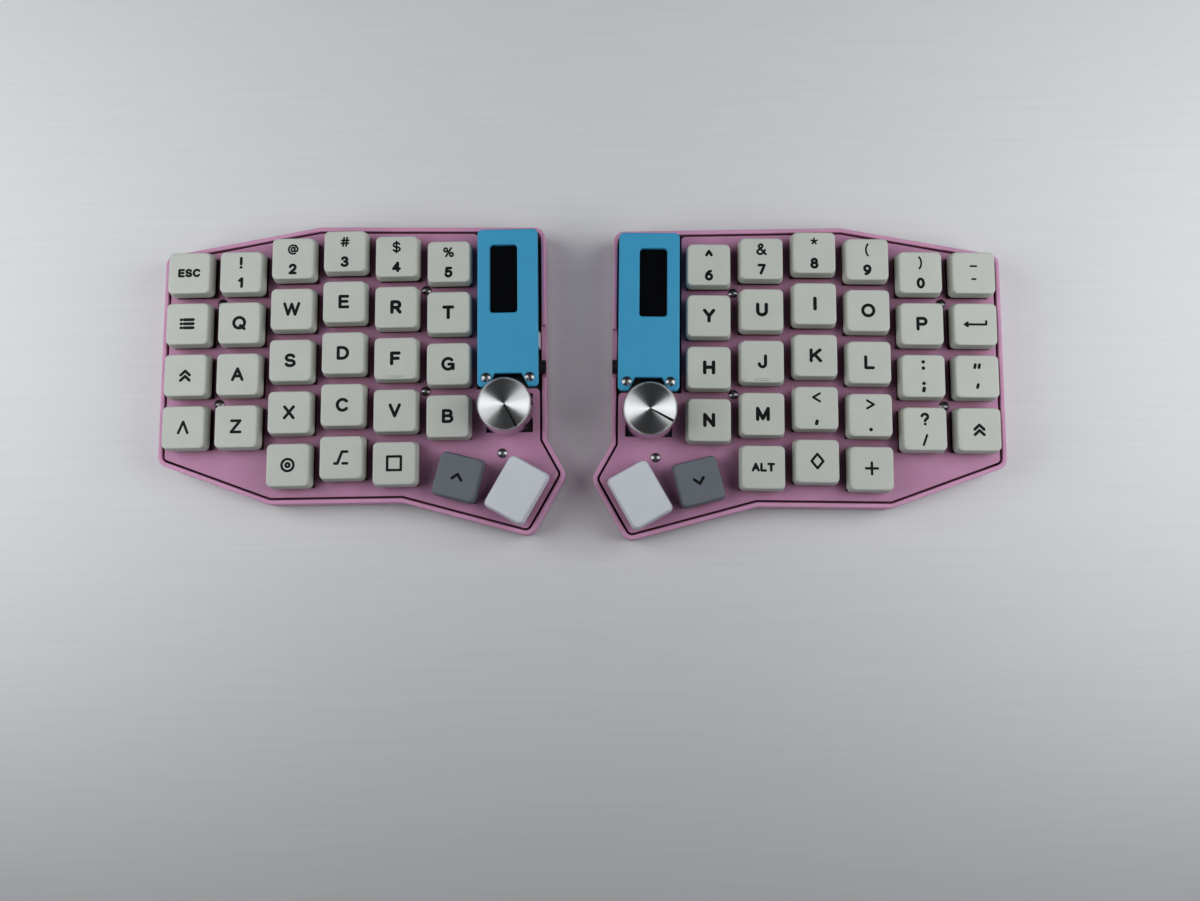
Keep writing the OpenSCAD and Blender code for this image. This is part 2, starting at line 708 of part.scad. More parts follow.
// Controller on two header strips, with its chip and its charging socket at the rear
module controller_board() {
    z_seat = z_controller + controller_t + fit_clear;
    at([cover_mid, controller_rear - controller_len / 2]) {
        color("#20242a") block(controller_w, controller_len, z_controller, z_controller + controller_t);
        color("black") block(chip_w, chip_w, z_seat, z_seat + chip_t);
        for (side = [-1, 1]) color("dimgray") translate([side * header_gap / 2, 0, 0])
            block(header_w, controller_len - 2 * header_w, z_board_top, z_controller - fit_clear);
        color("silver") translate([0, controller_len / 2 - usb_len / 2, 0]) difference() {
            block(usb_w, usb_len, z_seat, z_seat + usb_h);
            translate([0, usb_wall, 0])
                block(usb_w - 2 * usb_wall, usb_len + tiny, z_seat + usb_wall, z_seat + usb_h - usb_wall);
        }
    }
}

module encoder_body() {
    difference() {
        union() {
            block(encoder_w, encoder_w, z_board_top, z_encoder_top);
            post(bushing_d, z_encoder_top - tiny, z_encoder_top + bushing_h);
        }
        post(shaft_d + 2 * fit_clear, z_board_top + switch_floor_t, z_encoder_top + bushing_h + over);
    }
}

// Round below and flatted above, where the knob grips it
module shaft(grow, z_low, z_high) {
    flat = shaft_d / 2 - shaft_flat;
    difference() {
        post(shaft_d + 2 * grow, z_low, z_high);
        translate([-shaft_d, flat + grow, z_encoder_top + bushing_h + press_clear])
            cube([2 * shaft_d, shaft_d, z_high]);
    }
}

// Ribbed outline: two points for each rib, the inner one sunk in the knob's core
module ribbed_disc() {
    polygon([for (i = [0:2 * knob_ribs - 1])
        (knob_d / 2 - (i % 2) * 2 * rib_depth) * [cos(180 * i / knob_ribs), sin(180 * i / knob_ribs)]]);
}

// Bevelled core with a ribbed band, a stepped bore for shaft and bushing, and a pointer slot
module knob_shape() {
    r = knob_d / 2 - rib_depth;
    difference() {
        translate([0, 0, z_knob]) union() {
            rotate_extrude() polygon([[0, 0], [r - knob_edge, 0], [r, knob_edge], [r, knob_h - knob_edge],
                                      [r - knob_edge, knob_h], [0, knob_h]]);
            translate([0, 0, rib_margin]) linear_extrude(knob_h - 2 * rib_margin) ribbed_disc();
        }
        shaft(fit_clear, z_knob - over, z_shaft_top + push + press_clear);
        post(bushing_d + 2 * recess_clear, z_knob - over, z_encoder_top + bushing_h + push + 2 * press_clear);
        translate([0, -pointer_w / 2, z_knob_top - pointer_depth])
            cube([r + over, pointer_w, pointer_depth + over]);
    }
}

// Turns a knob and its shaft so that the pointer has a direction as seen from above
module knob_place(side, pointer) {
    place(side) at(knob_at, (side < 0 ? pointer : 180 - pointer) - half_turn) children();
}

// Body with a round nose through the case's wall and a bore for the plug
module cable_jack(side) {
    axis_z = z_board_top + jack_d / 2;
    at(jack_at(side)) difference() {
        union() {
            translate([-jack_len / 2, 0, 0])
                block(jack_len, jack_w, z_board_top, z_board_top + jack_d);
            translate([-over, 0, axis_z]) rotate([0, 90, 0]) cylinder(d = jack_d, h = jack_nose + over);
        }
        translate([jack_nose - jack_bore_len, 0, axis_z]) rotate([0, 90, 0])
            cylinder(d = jack_bore_d, h = jack_bore_len + over);
    }
}

module reset_switch() {
    z_top = z_board_top + reset_h;
    at(reset_at) difference() {
        block(reset_w, reset_len, z_board_top, z_top);
        block(reset_button_w + 2 * seat_clear, reset_button_len + 2 * seat_clear,
              z_top - reset_well, z_top + over);
    }
}

module reset_button() {
    z_top = z_board_top + reset_h;
    at(reset_at) block(reset_button_w, reset_button_len,
                       z_top - reset_well + reset_travel + press_clear / 2, z_top + reset_button_h);
}

// Cross-recessed screw, its head seated at height z
module screw(z, shank) {
    head = screw_head_d / 2;
    difference() {
        translate([0, 0, z]) rotate_extrude()
            polygon([[0, -shank], [screw_d / 2, -shank], [screw_d / 2, 0], [head, 0],
                     [head, screw_head_h / 2], [screw_flat_d / 2, screw_head_h], [0, screw_head_h]]);
        for (turn = [0, 90]) rotate(turn)
            block(cross_len, cross_w, z + screw_head_h - cross_depth, z + screw_head_h + over);
    }
}

module half_screws() {
    for (p = screw_spots) at(p, screw_turn) screw(z_plate_top, z_plate_top - z_board + screw_bite);
    for (p = ear_spots) at(p, screw_turn) screw(z_cover + cover_t, cover_t + standoff_bite);
}

module sleeve(z_low, z_high) {
    difference() {
        post(spacer_d, z_low, z_high);
        post(screw_d + 2 * seat_clear, z_low - over, z_high + over);
    }
}

module half_standoffs() {
    for (p = screw_spots) at(p) sleeve(z_board_top, z_plate_top - plate_t);
    for (p = ear_spots) at(p) sleeve(z_board_top, z_cover);
}

module half_feet() {
    for (i = foot_corners) at(foot_at(corners[i])) post(foot_d, 0, foot_h);
}

module left_case() { color("#c58fb4") place(-1) case_tray(-1); }
module right_case() { color("#c58fb4") place(1) case_tray(1); }
module left_switch_plate() { color("#b07a9e") place(-1) switch_plate(); }
module right_switch_plate() { color("#b07a9e") place(1) switch_plate(); }
module left_circuit_board() { color("#16181a") place(-1) circuit_board(); }
module right_circuit_board() { color("#16181a") place(1) circuit_board(); }
module left_display_cover() { color("#3a8ab0") place(-1) display_cover(); }
module right_display_cover() { color("#3a8ab0") place(1) display_cover(); }
module display_modules() { both() display_module(); }
module controller_boards() { both() controller_board(); }
module encoder_bodies() { color("gray") both() at(knob_at) encoder_body(); }
module switch_housings() { color("#26221f") both() for (k = keys) at(k[0], k[1]) switch_housing(); }
module cable_jacks() { color("black") for (side = [-1, 1]) place(side) cable_jack(side); }
module reset_switches() { color("silver") both() reset_switch(); }
module reset_buttons() { color("ivory") both() reset_button(); }
module screws() { color("silver") both() half_screws(); }
module standoffs() { color("goldenrod") both() half_standoffs(); }
module rubber_feet() { color("#202020") both() half_feet(); }
module encoder_shaft(side, pointer) {
    color("silver") knob_place(side, pointer) shaft(0, z_shaft, z_shaft_top);
}
module knob(side, pointer) {
    color("gainsboro") knob_place(side, pointer) knob_shape();
}
module letter_key(side, column, row, letter) {
    key(side, key_at(column, row), homing = letter == left_homing || letter == right_homing);
}

left_case();
right_case();
left_switch_plate();
right_switch_plate();
left_circuit_board();
right_circuit_board();
left_display_cover();
right_display_cover();
display_modules();
controller_boards();
encoder_bodies();
encoder_shaft(-1, left_pointer);  // left_encoder_shaft
encoder_shaft(1, right_pointer);  // right_encoder_shaft
knob(-1, left_pointer);  // left_knob
knob(1, right_pointer);  // right_knob
switch_housings();
cable_jacks();
reset_switches();
reset_buttons();
screws();
standoffs();
rubber_feet();
number_keys(-1);  // left_number_keys
number_keys(1);  // right_number_keys
modifier_keys(-1);  // left_modifier_keys
modifier_keys(1);  // right_modifier_keys
layer_key(-1);  // left_layer_key
layer_key(1);  // right_layer_key
space_key(-1);  // left_space_key
space_key(1);  // right_space_key
for (r = [0:2], i = [0:4]) {
    letter_key(-1, i + 1, r + 1, left_letters[r][i]);
    letter_key(1, 5 - i, r + 1, right_letters[r][i]);
}
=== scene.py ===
"""Looks of a split keyboard: keys with legends, knobs, cover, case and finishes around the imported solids."""
import math

import bmesh
import bpy
import numpy as np
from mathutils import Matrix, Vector
from mathutils.geometry import tessellate_polygon


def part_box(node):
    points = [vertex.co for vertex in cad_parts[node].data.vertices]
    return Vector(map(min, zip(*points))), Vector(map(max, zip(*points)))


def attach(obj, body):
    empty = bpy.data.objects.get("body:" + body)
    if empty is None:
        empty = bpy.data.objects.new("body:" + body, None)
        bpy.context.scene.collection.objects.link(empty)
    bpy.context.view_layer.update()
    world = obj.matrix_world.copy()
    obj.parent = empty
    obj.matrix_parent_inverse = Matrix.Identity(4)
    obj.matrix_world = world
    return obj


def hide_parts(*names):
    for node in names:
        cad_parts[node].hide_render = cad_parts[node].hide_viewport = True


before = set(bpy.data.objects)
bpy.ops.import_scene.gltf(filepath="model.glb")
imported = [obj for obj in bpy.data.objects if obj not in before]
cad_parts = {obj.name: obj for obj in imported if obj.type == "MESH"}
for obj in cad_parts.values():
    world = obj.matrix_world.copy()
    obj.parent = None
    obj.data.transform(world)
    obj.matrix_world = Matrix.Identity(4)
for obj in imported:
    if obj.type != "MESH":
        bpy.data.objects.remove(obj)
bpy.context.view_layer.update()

MM = 0.001
METRE = 1000

# Keycap sizes in millimetres: moulded shell with leaning sides and a soft shoulder, whose corner radius
# shrinks by a share of what each row is drawn in
CAP_HALF = np.array([8.2, 8.2])
CAP_HEIGHT = 4.2
CAP_WALL = 1.1
CAP_CEILING = 1.95
CAP_CORNER = 2.0
CORNER_DRAW = 0.4
CAP_LEAN = 0.5
SHOULDER_IN = 0.6
SHOULDER_DROP = 0.7
CAP_LIP = 0.15
DISH = 0.12
DISH_REACH = 9.0
LONG_KEY_UNITS = 1.25
THUMB_TURN = 15
LONG_THUMB_TURN = 30

# Raised lip that the forefingers find on two keys: half sizes, distance from the front, how deep it sits
HOMING_LIP = np.array([3.4, 0.5, 0.5])
HOMING_FRONT = 1.6
HOMING_SINK = 0.1

# Switch slider under a keycap
SLIDER = (10.0, 4.6)
SLIDER_CORNER = 0.5
SLIDER_HEIGHT = 4.5
SLIDER_BEVEL = 0.3
SLIDER_GAP = 0.05

# Legends: heights, widths of the stroke, how far a pair stands from the middle, space between glyphs as a
# share of the height, and the ink's relief
LETTER_HEIGHT = 5.1
PAIR_HEIGHT = 4.1
WORD_HEIGHT = 3.2
STROKE = 1.14
PAIR_STROKE = 1.02
WORD_STROKE = 0.88
PAIR_UP = 3.5
PAIR_DOWN = 4.0
LAYER_SIGN = (5.0, 1.05)
GLYPH_GAP = 0.42
INK_LIFT = 0.02
INK_SINK = 0.25
INK_STEP = 0.002

# Knob: turned disc with a ribbed side, a fine bevel, a recess below and a pointer line with its direction in
# degrees
KNOB_RIBS = 80
RIB_POINTS = 6
RIB_DEPTH = 0.6
KNOB_SIDE_ROWS = 7
KNOB_TOP_ROWS = 16
KNOB_BEVEL = 0.12
RIB_MARGIN = 0.35
RECESS_RADIUS = 4.5
RECESS_DEPTH = 5.0
POINTER_WIDTH = 1.0
POINTER_TAPER = 0.5
POINTER_LIFT = 0.012
POINTER_SINK = 0.3
POINTER_LEFT = -61
POINTER_RIGHT = -29

# Screws: shank, domed head with a short side, and cross recess with sloping sides and ends; a screw's hole
# in a sheet stays below a width
SHANK_RADIUS = 0.95
SHANK_LENGTH = 4.0
HEAD_RADIUS = 1.7
HEAD_SIDE = 0.25
HEAD_HEIGHT = 0.9
CROSS_WIDTH = 0.5
CROSS_LENGTH = 2.6
CROSS_DEPTH = 0.35
CROSS_SIDE = 0.06
CROSS_END = 0.12
HOLE_MOST = 4.0

# Radii of the soft edges, how flat a solid's top is, and the angles in degrees from which edges stay sharp
CASE_EDGE = 0.5
PLATE_EDGE = 0.2
COVER_EDGE = 0.55
FLAT_WITHIN = 0.001
MADE_SHARP = 38
SOFT_SHARP = 30

# Plastics: size of their clouds, share of the light that goes below the surface, and how far each of red,
# green and blue goes
CLOUD_MM = 9.0
BELOW_SHARE = 0.35
BELOW_SPREAD = (1.0, 0.3, 0.4)

# Painted shade in crevices: how near other surfaces count, and the open shares between which the colour turns
PAINTED_SHADE_REACH = 6.0
PAINTED_SHADE_DEEP = 0.15
PAINTED_SHADE_OPEN = 0.8


def linear(hex_colour):
    """An sRGB hex colour as linear light: the curve is a straight toe and then a power of 2.4."""
    srgb = np.array([int(hex_colour[i:i + 2], 16) for i in (1, 3, 5)]) / 255
    light = np.where(srgb <= 0.04045, srgb / 12.92, ((srgb + 0.055) / 1.055) ** 2.4)
    return (*light.tolist(), 1.0)


# Finishes


def add(tree, kind, inputs=None, **settings):
    """One node with its settings; an input is a value, or a socket that is linked to it."""
    node = tree.nodes.new(kind)
    for key, value in settings.items():
        setattr(node, key, value)
    for key, value in (inputs or {}).items():
        if isinstance(value, bpy.types.NodeSocket):
            tree.links.new(value, node.inputs[key])
        else:
            node.inputs[key].default_value = value
    return node


def new_finish(name):
    """An empty material with its shader: returns the material, its tree and the shader."""
    material = bpy.data.materials.new(name)
    material.use_nodes = True
    tree = material.node_tree
    tree.nodes.clear()
    shader = add(tree, "ShaderNodeBsdfPrincipled")
    add(tree, "ShaderNodeOutputMaterial", {"Surface": shader.outputs["BSDF"]})
    return material, tree, shader


def grained(name, light, dark, roughness, grain_mm, relief_mm, sheen=0.5, depth_mm=0.0, painted_shade=None):
    """Matte surface: two near colours in soft clouds, and a fine grain that lifts and roughens it. Sheen is
    the strength of its mirror part. Light wanders below the surface where a depth is given, and where a
    painted shade colour is given the colour goes over to it where other surfaces stand close around."""
    material, tree, shader = new_finish(name)
    shader.inputs["Specular IOR Level"].default_value = sheen
    if depth_mm:
        shader.inputs["Subsurface Weight"].default_value = BELOW_SHARE
        shader.inputs["Subsurface Radius"].default_value = BELOW_SPREAD
        shader.inputs["Subsurface Scale"].default_value = depth_mm * MM
    place = add(tree, "ShaderNodeTexCoord").outputs["Object"]
    clouds = add(tree, "ShaderNodeTexNoise", {"Vector": place, "Scale": METRE / CLOUD_MM, "Detail": 3.0})
    grain = add(tree, "ShaderNodeTexNoise", {"Vector": place, "Scale": METRE / grain_mm, "Detail": 2.0})
    both = add(tree, "ShaderNodeMath", {0: clouds.outputs["Fac"], 1: grain.outputs["Fac"]},
               operation="MULTIPLY")
    shade = add(tree, "ShaderNodeValToRGB", {"Fac": both.outputs["Value"]})
    shade.color_ramp.elements[0].position = 0.1
    shade.color_ramp.elements[0].color = linear(dark)
    shade.color_ramp.elements[1].position = 0.4
    shade.color_ramp.elements[1].color = linear(light)
    rough = add(tree, "ShaderNodeMapRange", {"Value": grain.outputs["Fac"], "From Min": 0.3, "From Max": 0.7,
                                             "To Min": roughness - 0.05, "To Max": roughness + 0.05})
    bump = add(tree, "ShaderNodeBump", {"Height": grain.outputs["Fac"], "Distance": relief_mm * MM,
                                        "Strength": 0.6})
    colour = shade.outputs["Color"]
    # Painted shade: an occlusion node darkens the colour towards the painted shade colour in gaps and crevices
    if painted_shade:
        around = add(tree, "ShaderNodeAmbientOcclusion", {"Distance": PAINTED_SHADE_REACH * MM}, samples=8)
        unshaded = add(tree, "ShaderNodeMapRange", {"Value": around.outputs["AO"], "From Min": PAINTED_SHADE_DEEP,
                                                "From Max": PAINTED_SHADE_OPEN})
        mixture = {"Factor": unshaded.outputs["Result"], 6: linear(painted_shade), 7: colour}
        colour = add(tree, "ShaderNodeMix", mixture, data_type="RGBA").outputs[2]
    tree.links.new(colour, shader.inputs["Base Color"])
    tree.links.new(rough.outputs["Result"], shader.inputs["Roughness"])
    tree.links.new(bump.outputs["Normal"], shader.inputs["Normal"])
    return material


def metal(name, light, dark, roughness, streak_mm, relief_mm):
    """Metal with fine marks from its making: streaks in two near shades that also roughen it."""
    material, tree, shader = new_finish(name)
    place = add(tree, "ShaderNodeTexCoord").outputs["Object"]
    streak = add(tree, "ShaderNodeTexNoise", {"Vector": place, "Scale": METRE / streak_mm, "Detail": 3.0})
    shade = add(tree, "ShaderNodeValToRGB", {"Fac": streak.outputs["Fac"]})
    shade.color_ramp.elements[0].position = 0.3
    shade.color_ramp.elements[0].color = linear(dark)
    shade.color_ramp.elements[1].position = 0.7
    shade.color_ramp.elements[1].color = linear(light)
    bump = add(tree, "ShaderNodeBump", {"Height": streak.outputs["Fac"], "Distance": relief_mm * MM,
                                        "Strength": 0.4})
    shader.inputs["Metallic"].default_value = 1.0
    shader.inputs["Roughness"].default_value = roughness
    tree.links.new(shade.outputs["Color"], shader.inputs["Base Color"])
    tree.links.new(bump.outputs["Normal"], shader.inputs["Normal"])
    return material


def turned_aluminium():
    """Spun aluminium: rings left by the lathe stretch each reflection across them, so light fans out from
    the middle."""
    material, tree, shader = new_finish("turned_aluminium")
    uv = add(tree, "ShaderNodeTexCoord").outputs["UV"]
    across = add(tree, "ShaderNodeMapping", {"Vector": uv, "Scale": (0.0, 260.0, 1.0)})
    rings = add(tree, "ShaderNodeTexNoise", {"Vector": across.outputs["Vector"], "Scale": 1.0,
                                             "Detail": 2.0})
    shade = add(tree, "ShaderNodeValToRGB", {"Fac": rings.outputs["Fac"]})
    shade.color_ramp.elements[0].position = 0.25
    shade.color_ramp.elements[0].color = linear("#d3d6d8")
    shade.color_ramp.elements[1].position = 0.75
    shade.color_ramp.elements[1].color = linear("#f2f4f5")
    along = add(tree, "ShaderNodeTangent", direction_type="UV_MAP", uv_map="Along")
    shader.inputs["Metallic"].default_value = 1.0
    shader.inputs["Roughness"].default_value = 0.46
    shader.inputs["Anisotropic"].default_value = 1.0
    shader.inputs["Anisotropic Rotation"].default_value = 0.25
    tree.links.new(shade.outputs["Color"], shader.inputs["Base Color"])
    tree.links.new(along.outputs["Tangent"], shader.inputs["Tangent"])
    return material


def display_glass():
    """Dark cover glass of a small display: near black, smooth, with a faint smear of dust."""
    material, tree, shader = new_finish("display_glass")
    place = add(tree, "ShaderNodeTexCoord").outputs["Object"]
    dust = add(tree, "ShaderNodeTexNoise", {"Vector": place, "Scale": METRE / 3.0, "Detail": 4.0})
    rough = add(tree, "ShaderNodeMapRange", {"Value": dust.outputs["Fac"], "From Min": 0.4, "From Max": 0.7,
                                             "To Min": 0.06, "To Max": 0.14})
    shader.inputs["Base Color"].default_value = linear("#050608")
    shader.inputs["IOR"].default_value = 1.5
    tree.links.new(rough.outputs["Result"], shader.inputs["Roughness"])
    return material


# Moulded keycap plastic: a pale, slightly green grey that scatters light softly, with a sand-fine texture,
# # and painted shade that darkens it between the keys
CAP = grained("moulded_offwhite_plastic", "#c1c6c0", "#babfb9", 0.6, 0.35, 0.012, painted_shade="#a39f95")
# The same plastic in slate grey, for the layer keys
GREY_CAP = grained("moulded_slate_plastic", "#646c73", "#5f676e", 0.6, 0.35, 0.012)
# The same plastic in a cool white, for the long thumb keys
WHITE_CAP = grained("moulded_white_plastic", "#d1d7df", "#cbd1d9", 0.55, 0.35, 0.01)
# Dark dye that has sunk into the keycap's top: nearly black and as matte as the cap
INK = grained("dyed_legend", "#0c0d11", "#08090c", 0.6, 0.35, 0.008, sheen=0.15)
# Brown slider of the switch, an oily smooth moulding
SLIDER_PLASTIC = grained("moulded_brown_plastic", "#4a2a1c", "#402418", 0.4, 0.5, 0.006)
# Pink tray and plate: matte plastic with the fine even grain of a textured mould, and painted shade that
# # darkens them in the slits and the gaps between the keys
CASE_PLASTIC = grained("textured_pink_plastic", "#d29bc0", "#c892b5", 0.62, 0.3, 0.02, depth_mm=0.8,
                       painted_shade="#8a4a5c")
PLATE_PLASTIC = grained("textured_pink_sheet", "#c28cb0", "#b582a4", 0.66, 0.3, 0.03, depth_mm=0.8,
                        painted_shade="#8a4f62")
# Sky blue cover: smooth matte moulding with hardly any grain
COVER_PLASTIC = grained("smooth_blue_plastic", "#369bc7", "#3296c2", 0.55, 0.4, 0.008)
# Dark red mouldings of the switches, seen in the gaps between the keys
HOUSING_PLASTIC = grained("moulded_maroon_plastic", "#300d10", "#280a0d", 0.45, 0.4, 0.01)
# Black mouldings of the cable jacks
BLACK_PLASTIC = grained("moulded_black_plastic", "#161617", "#111112", 0.5, 0.4, 0.01)
# Black solder mask: glossy film over glass cloth
SOLDER_MASK = grained("black_solder_mask", "#15181a", "#0f1113", 0.35, 0.8, 0.01)
# Soft black feet
RUBBER = grained("black_rubber", "#191919", "#131313", 0.8, 0.4, 0.03)
# Plated shells and shafts, bright with a faint tooling mark
STEEL = metal("plated_steel", "#d5d6d8", "#b4b6b9", 0.32, 0.6, 0.004)
# Screw heads, a darker nickel that is polished on the dome
NICKEL = metal("dark_nickel", "#9b9c9f", "#7f8083", 0.28, 0.5, 0.004)
# Turned brass standoffs
BRASS = metal("turned_brass", "#c9a961", "#a98b49", 0.3, 0.5, 0.005)
# The knob's ribbed side, cut and then polished like a mirror
RIB_METAL = metal("polished_ribs", "#d9dbde", "#c4c7cb", 0.12, 0.5, 0.003)
# The knob's top, left as the lathe spun it
KNOB_METAL = turned_aluminium()
# Displays, dark when they are off
GLASS = display_glass()


# Surfaces: each is an array of rings, rings by points by x, y and z, in millimetres


def quads_of(rings, closed):
    """Corner numbers of the quads between the rings, and how far along the surface each corner lies."""
    rows, columns = rings.shape[:2]
    r = np.arange(rows if closed else rows - 1)[:, None]
    c = np.arange(columns)[None, :]
    steps = [(0, 0), (0, 1), (1, 1), (1, 0)]
    corners = [(r + a) % rows * columns + (c + b) % columns for a, b in steps]
    along = [np.stack(np.broadcast_arrays((c + b) / columns, (r + a) / max(rows - 1, 1)), -1)
             for a, b in steps]
    return np.stack(corners, -1).reshape(-1, 4), np.stack(along, -2).reshape(-1, 4, 2)


def facing_out(points, quads, along):
    """Turns the quads round where the volume that they enclose, summed over triangles, is negative."""
    a, b, c, d = (points[quads[:, i]] for i in range(4))
    volume = np.einsum("ij,ij->", a, np.cross(b, c) + np.cross(c, d))
    return (quads, along) if volume > 0 else (quads[:, ::-1], along[:, ::-1])


def new_object(name, data):
    """An object around the data, put into the scene."""
    made = bpy.data.objects.new(name, data)
    bpy.context.scene.collection.objects.link(made)
    return made


def make(name, surfaces, finishes, body, slot, *nodes):
    """One piece from its surfaces: each has its rings, the number of its finish for all rows or one for
    each, and whether its rows close."""
    points, quads, along, finish = [], [], [], []
    start = 0
    for rings, number, closed in surfaces:
        flat = rings.reshape(-1, 3) * MM
        q, t = facing_out(flat - flat.mean(0), *quads_of(rings, closed))
        points.append(flat)
        quads.append(q + start)
        along.append(t)
        finish.append(np.repeat(np.broadcast_to(number, len(q) // rings.shape[1]), rings.shape[1]))
        start += len(flat)
    mesh = bpy.data.meshes.new(name)
    mesh.from_pydata(np.concatenate(points), [], np.concatenate(quads))
    spread = mesh.uv_layers.new(name="Along")
    spread.data.foreach_set("uv", np.concatenate(along).astype(np.float32).ravel())
    mesh.polygons.foreach_set("material_index", np.concatenate(finish).astype(np.int32))
    mesh.polygons.foreach_set("use_smooth", np.ones(len(mesh.polygons), bool))
    joined = bmesh.new()
    joined.from_mesh(mesh)
    bmesh.ops.remove_doubles(joined, verts=joined.verts, dist=1e-7)
    joined.to_mesh(mesh)
    joined.free()
    mesh.set_sharp_from_angle(angle=math.radians(MADE_SHARP))
    for material in finishes:
        mesh.materials.append(material)
    piece = new_object(name, mesh)
    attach(piece, body)
    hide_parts(*nodes)


def rounded_outline(per_corner=6, per_side=5):
    """Unit rounded rectangle as two parts: which corner centre a point belongs to, sliding along each side,
    and the direction from that centre. A ring is the centre times (half size less radius) plus the radius
    times the direction."""
    centres, directions = [], []
    for turn in range(4):
        quarter = math.pi / 2 * turn
        corner = np.sign(np.round([math.cos(quarter + math.pi / 4), math.sin(quarter + math.pi / 4)], 3))
        following = np.array([-corner[1], corner[0]])
        angles = quarter + np.linspace(0, math.pi / 2, per_corner)
        centres.append(np.tile(corner, (per_corner, 1)))
        directions.append(np.stack([np.cos(angles), np.sin(angles)], 1))
        share = np.linspace(0, 1, per_side + 2)[1:-1, None]
        centres.append(corner + share * (following - corner))
        directions.append(np.tile(directions[-1][-1], (per_side, 1)))
    return np.concatenate(centres), np.concatenate(directions)


OUTLINE_CENTRES, OUTLINE_DIRECTIONS = rounded_outline()


def rounded_rings(half, inset, corner, height):
    """Rounded rectangles in a stack: half sizes less each row's inset, its corner radius and its height."""
    inset, corner, height = (np.asarray(v, float)[:, None, None] for v in (inset, corner, height))
    flat = OUTLINE_CENTRES * (np.asarray(half) - inset - corner) + corner * OUTLINE_DIRECTIONS
    return np.concatenate([flat, np.broadcast_to(height, flat.shape[:2] + (1,))], 2)


def shrunk(ring, shares):
    """Copies of a ring drawn in to its middle by each share, at the ring's height."""
    shares = np.asarray(shares)[:, None, None]
    return ring[None] * np.concatenate([shares, shares, np.ones_like(shares)], 2)


def top_height(x, y):
    """Height of a keycap's top: a shallow round dish, deepest in the middle."""
    return CAP_HEIGHT - DISH * np.maximum(0, 1 - (x ** 2 + y ** 2) / DISH_REACH ** 2)


def keycap(half):
    """Shell of a keycap: ceiling, inner wall, lip, leaning side, a quarter ellipse for the shoulder, and the
    top."""
    side = np.linspace(0, 1, 5)
    bend = np.linspace(0, math.pi / 2, 8)[1:]
    side_top = CAP_HEIGHT - SHOULDER_DROP
    inset = np.concatenate([[CAP_WALL, CAP_WALL, CAP_WALL - CAP_LIP, CAP_LIP], CAP_LEAN * side,
                            CAP_LEAN + SHOULDER_IN * (1 - np.cos(bend))])
    height = np.concatenate([[CAP_CEILING, CAP_LIP, 0, 0], CAP_LIP + (side_top - CAP_LIP) * side,
                             side_top + SHOULDER_DROP * np.sin(bend)])
    rings = rounded_rings(half, inset, CAP_CORNER - CORNER_DRAW * inset, height)
    ceiling = shrunk(rings[0], np.linspace(0, 1, 4)[:-1])
    top = shrunk(rings[-1], np.linspace(1, 0, 8)[1:])
    rings = np.concatenate([ceiling, rings, top])
    settled = np.clip((rings[:, :, 2] - side_top) / SHOULDER_DROP, 0, 1) ** 2
    rings[:, :, 2] += settled * (top_height(rings[:, :, 0], rings[:, :, 1]) - CAP_HEIGHT)
    return rings


def slider():
    """Switch slider: a block with rounded upright edges and closed ends, up to the cap's ceiling."""
    half = np.array(SLIDER) / 2
    bottom = CAP_CEILING - SLIDER_GAP - SLIDER_HEIGHT
    height = bottom + np.array([0, SLIDER_BEVEL, SLIDER_HEIGHT - SLIDER_BEVEL, SLIDER_HEIGHT])
    rings = rounded_rings(half, [SLIDER_BEVEL, 0, 0, SLIDER_BEVEL], [SLIDER_CORNER] * 4, height)
    return np.concatenate([shrunk(rings[0], [0]), rings, shrunk(rings[-1], [0])])


def lens(middle, half_sizes, rows=9, columns=24):
    """Ellipsoid by latitude and longitude: a lens-shaped lip where it stands out of a surface."""
    up = np.linspace(-math.pi / 2, math.pi / 2, rows)[:, None]
    round_ = np.linspace(0, 2 * math.pi, columns, endpoint=False)[None, :]
    unit = np.stack([np.cos(up) * np.cos(round_), np.cos(up) * np.sin(round_),
                     np.broadcast_to(np.sin(up), (rows, columns))], 2)
    return np.asarray(middle) + unit * half_sizes


# Legends: strokes along centre lines, in units of the height between the outermost centre lines


def line(*xy):
    """Straight strokes through the points given as x, y, x, y and so on."""
    points = np.reshape(xy, (-1, 2)).astype(float)
    return [points[i:i + 2] for i in range(len(points) - 1)]


def dot(x, y):
    """A round dot: a stroke with hardly any length."""
    return line(x - 0.01, y, x + 0.01, y)


def arc(x, y, rx, ry, start, end):
    """Part of an ellipse about x, y from one angle to another, in degrees."""
    a = np.radians(np.linspace(start, end, max(5, int(abs(end - start) / 10))))
    return [np.stack([x + rx * np.cos(a), y + ry * np.sin(a)], 1)]


def ring(x, y, rx, ry):
    """A whole ellipse about x, y."""
    return [np.concatenate([arc(x, y, rx, ry, 0, 360)[0][:-1], [[x + rx, y]]])]


def curve(*xy):
    """A smooth stroke through the points: on each span a cubic whose slopes come from the neighbours."""
    p = np.reshape(xy, (-1, 2)).astype(float)
    slope = np.gradient(p, axis=0)
    t = np.linspace(0, 1, 7)[None, :-1, None]
    a, b, da, db = p[:-1, None], p[1:, None], slope[:-1, None], slope[1:, None]
    spans = ((2 * t ** 3 - 3 * t ** 2 + 1) * a + (t ** 3 - 2 * t ** 2 + t) * da
             + (3 * t ** 2 - 2 * t ** 3) * b + (t ** 3 - t ** 2) * db)
    return [np.concatenate([spans.reshape(-1, 2), p[-1:]])]


S_CURVE = arc(.37, .745, .35, .255, 22, 270) + arc(.38, .245, .38, .245, 90, -158)
P_BOWL = line(0, 0, 0, 1, .44, 1) + arc(.44, .725, .29, .275, 90, -90) + line(.44, .45, 0, .45)
O_RING = ring(.5, .5, .5, .5)
ARM_ANGLES = np.radians(90 + 72 * np.arange(5))
CHEVRON = (0, 0, .42, .4, .84, 0)

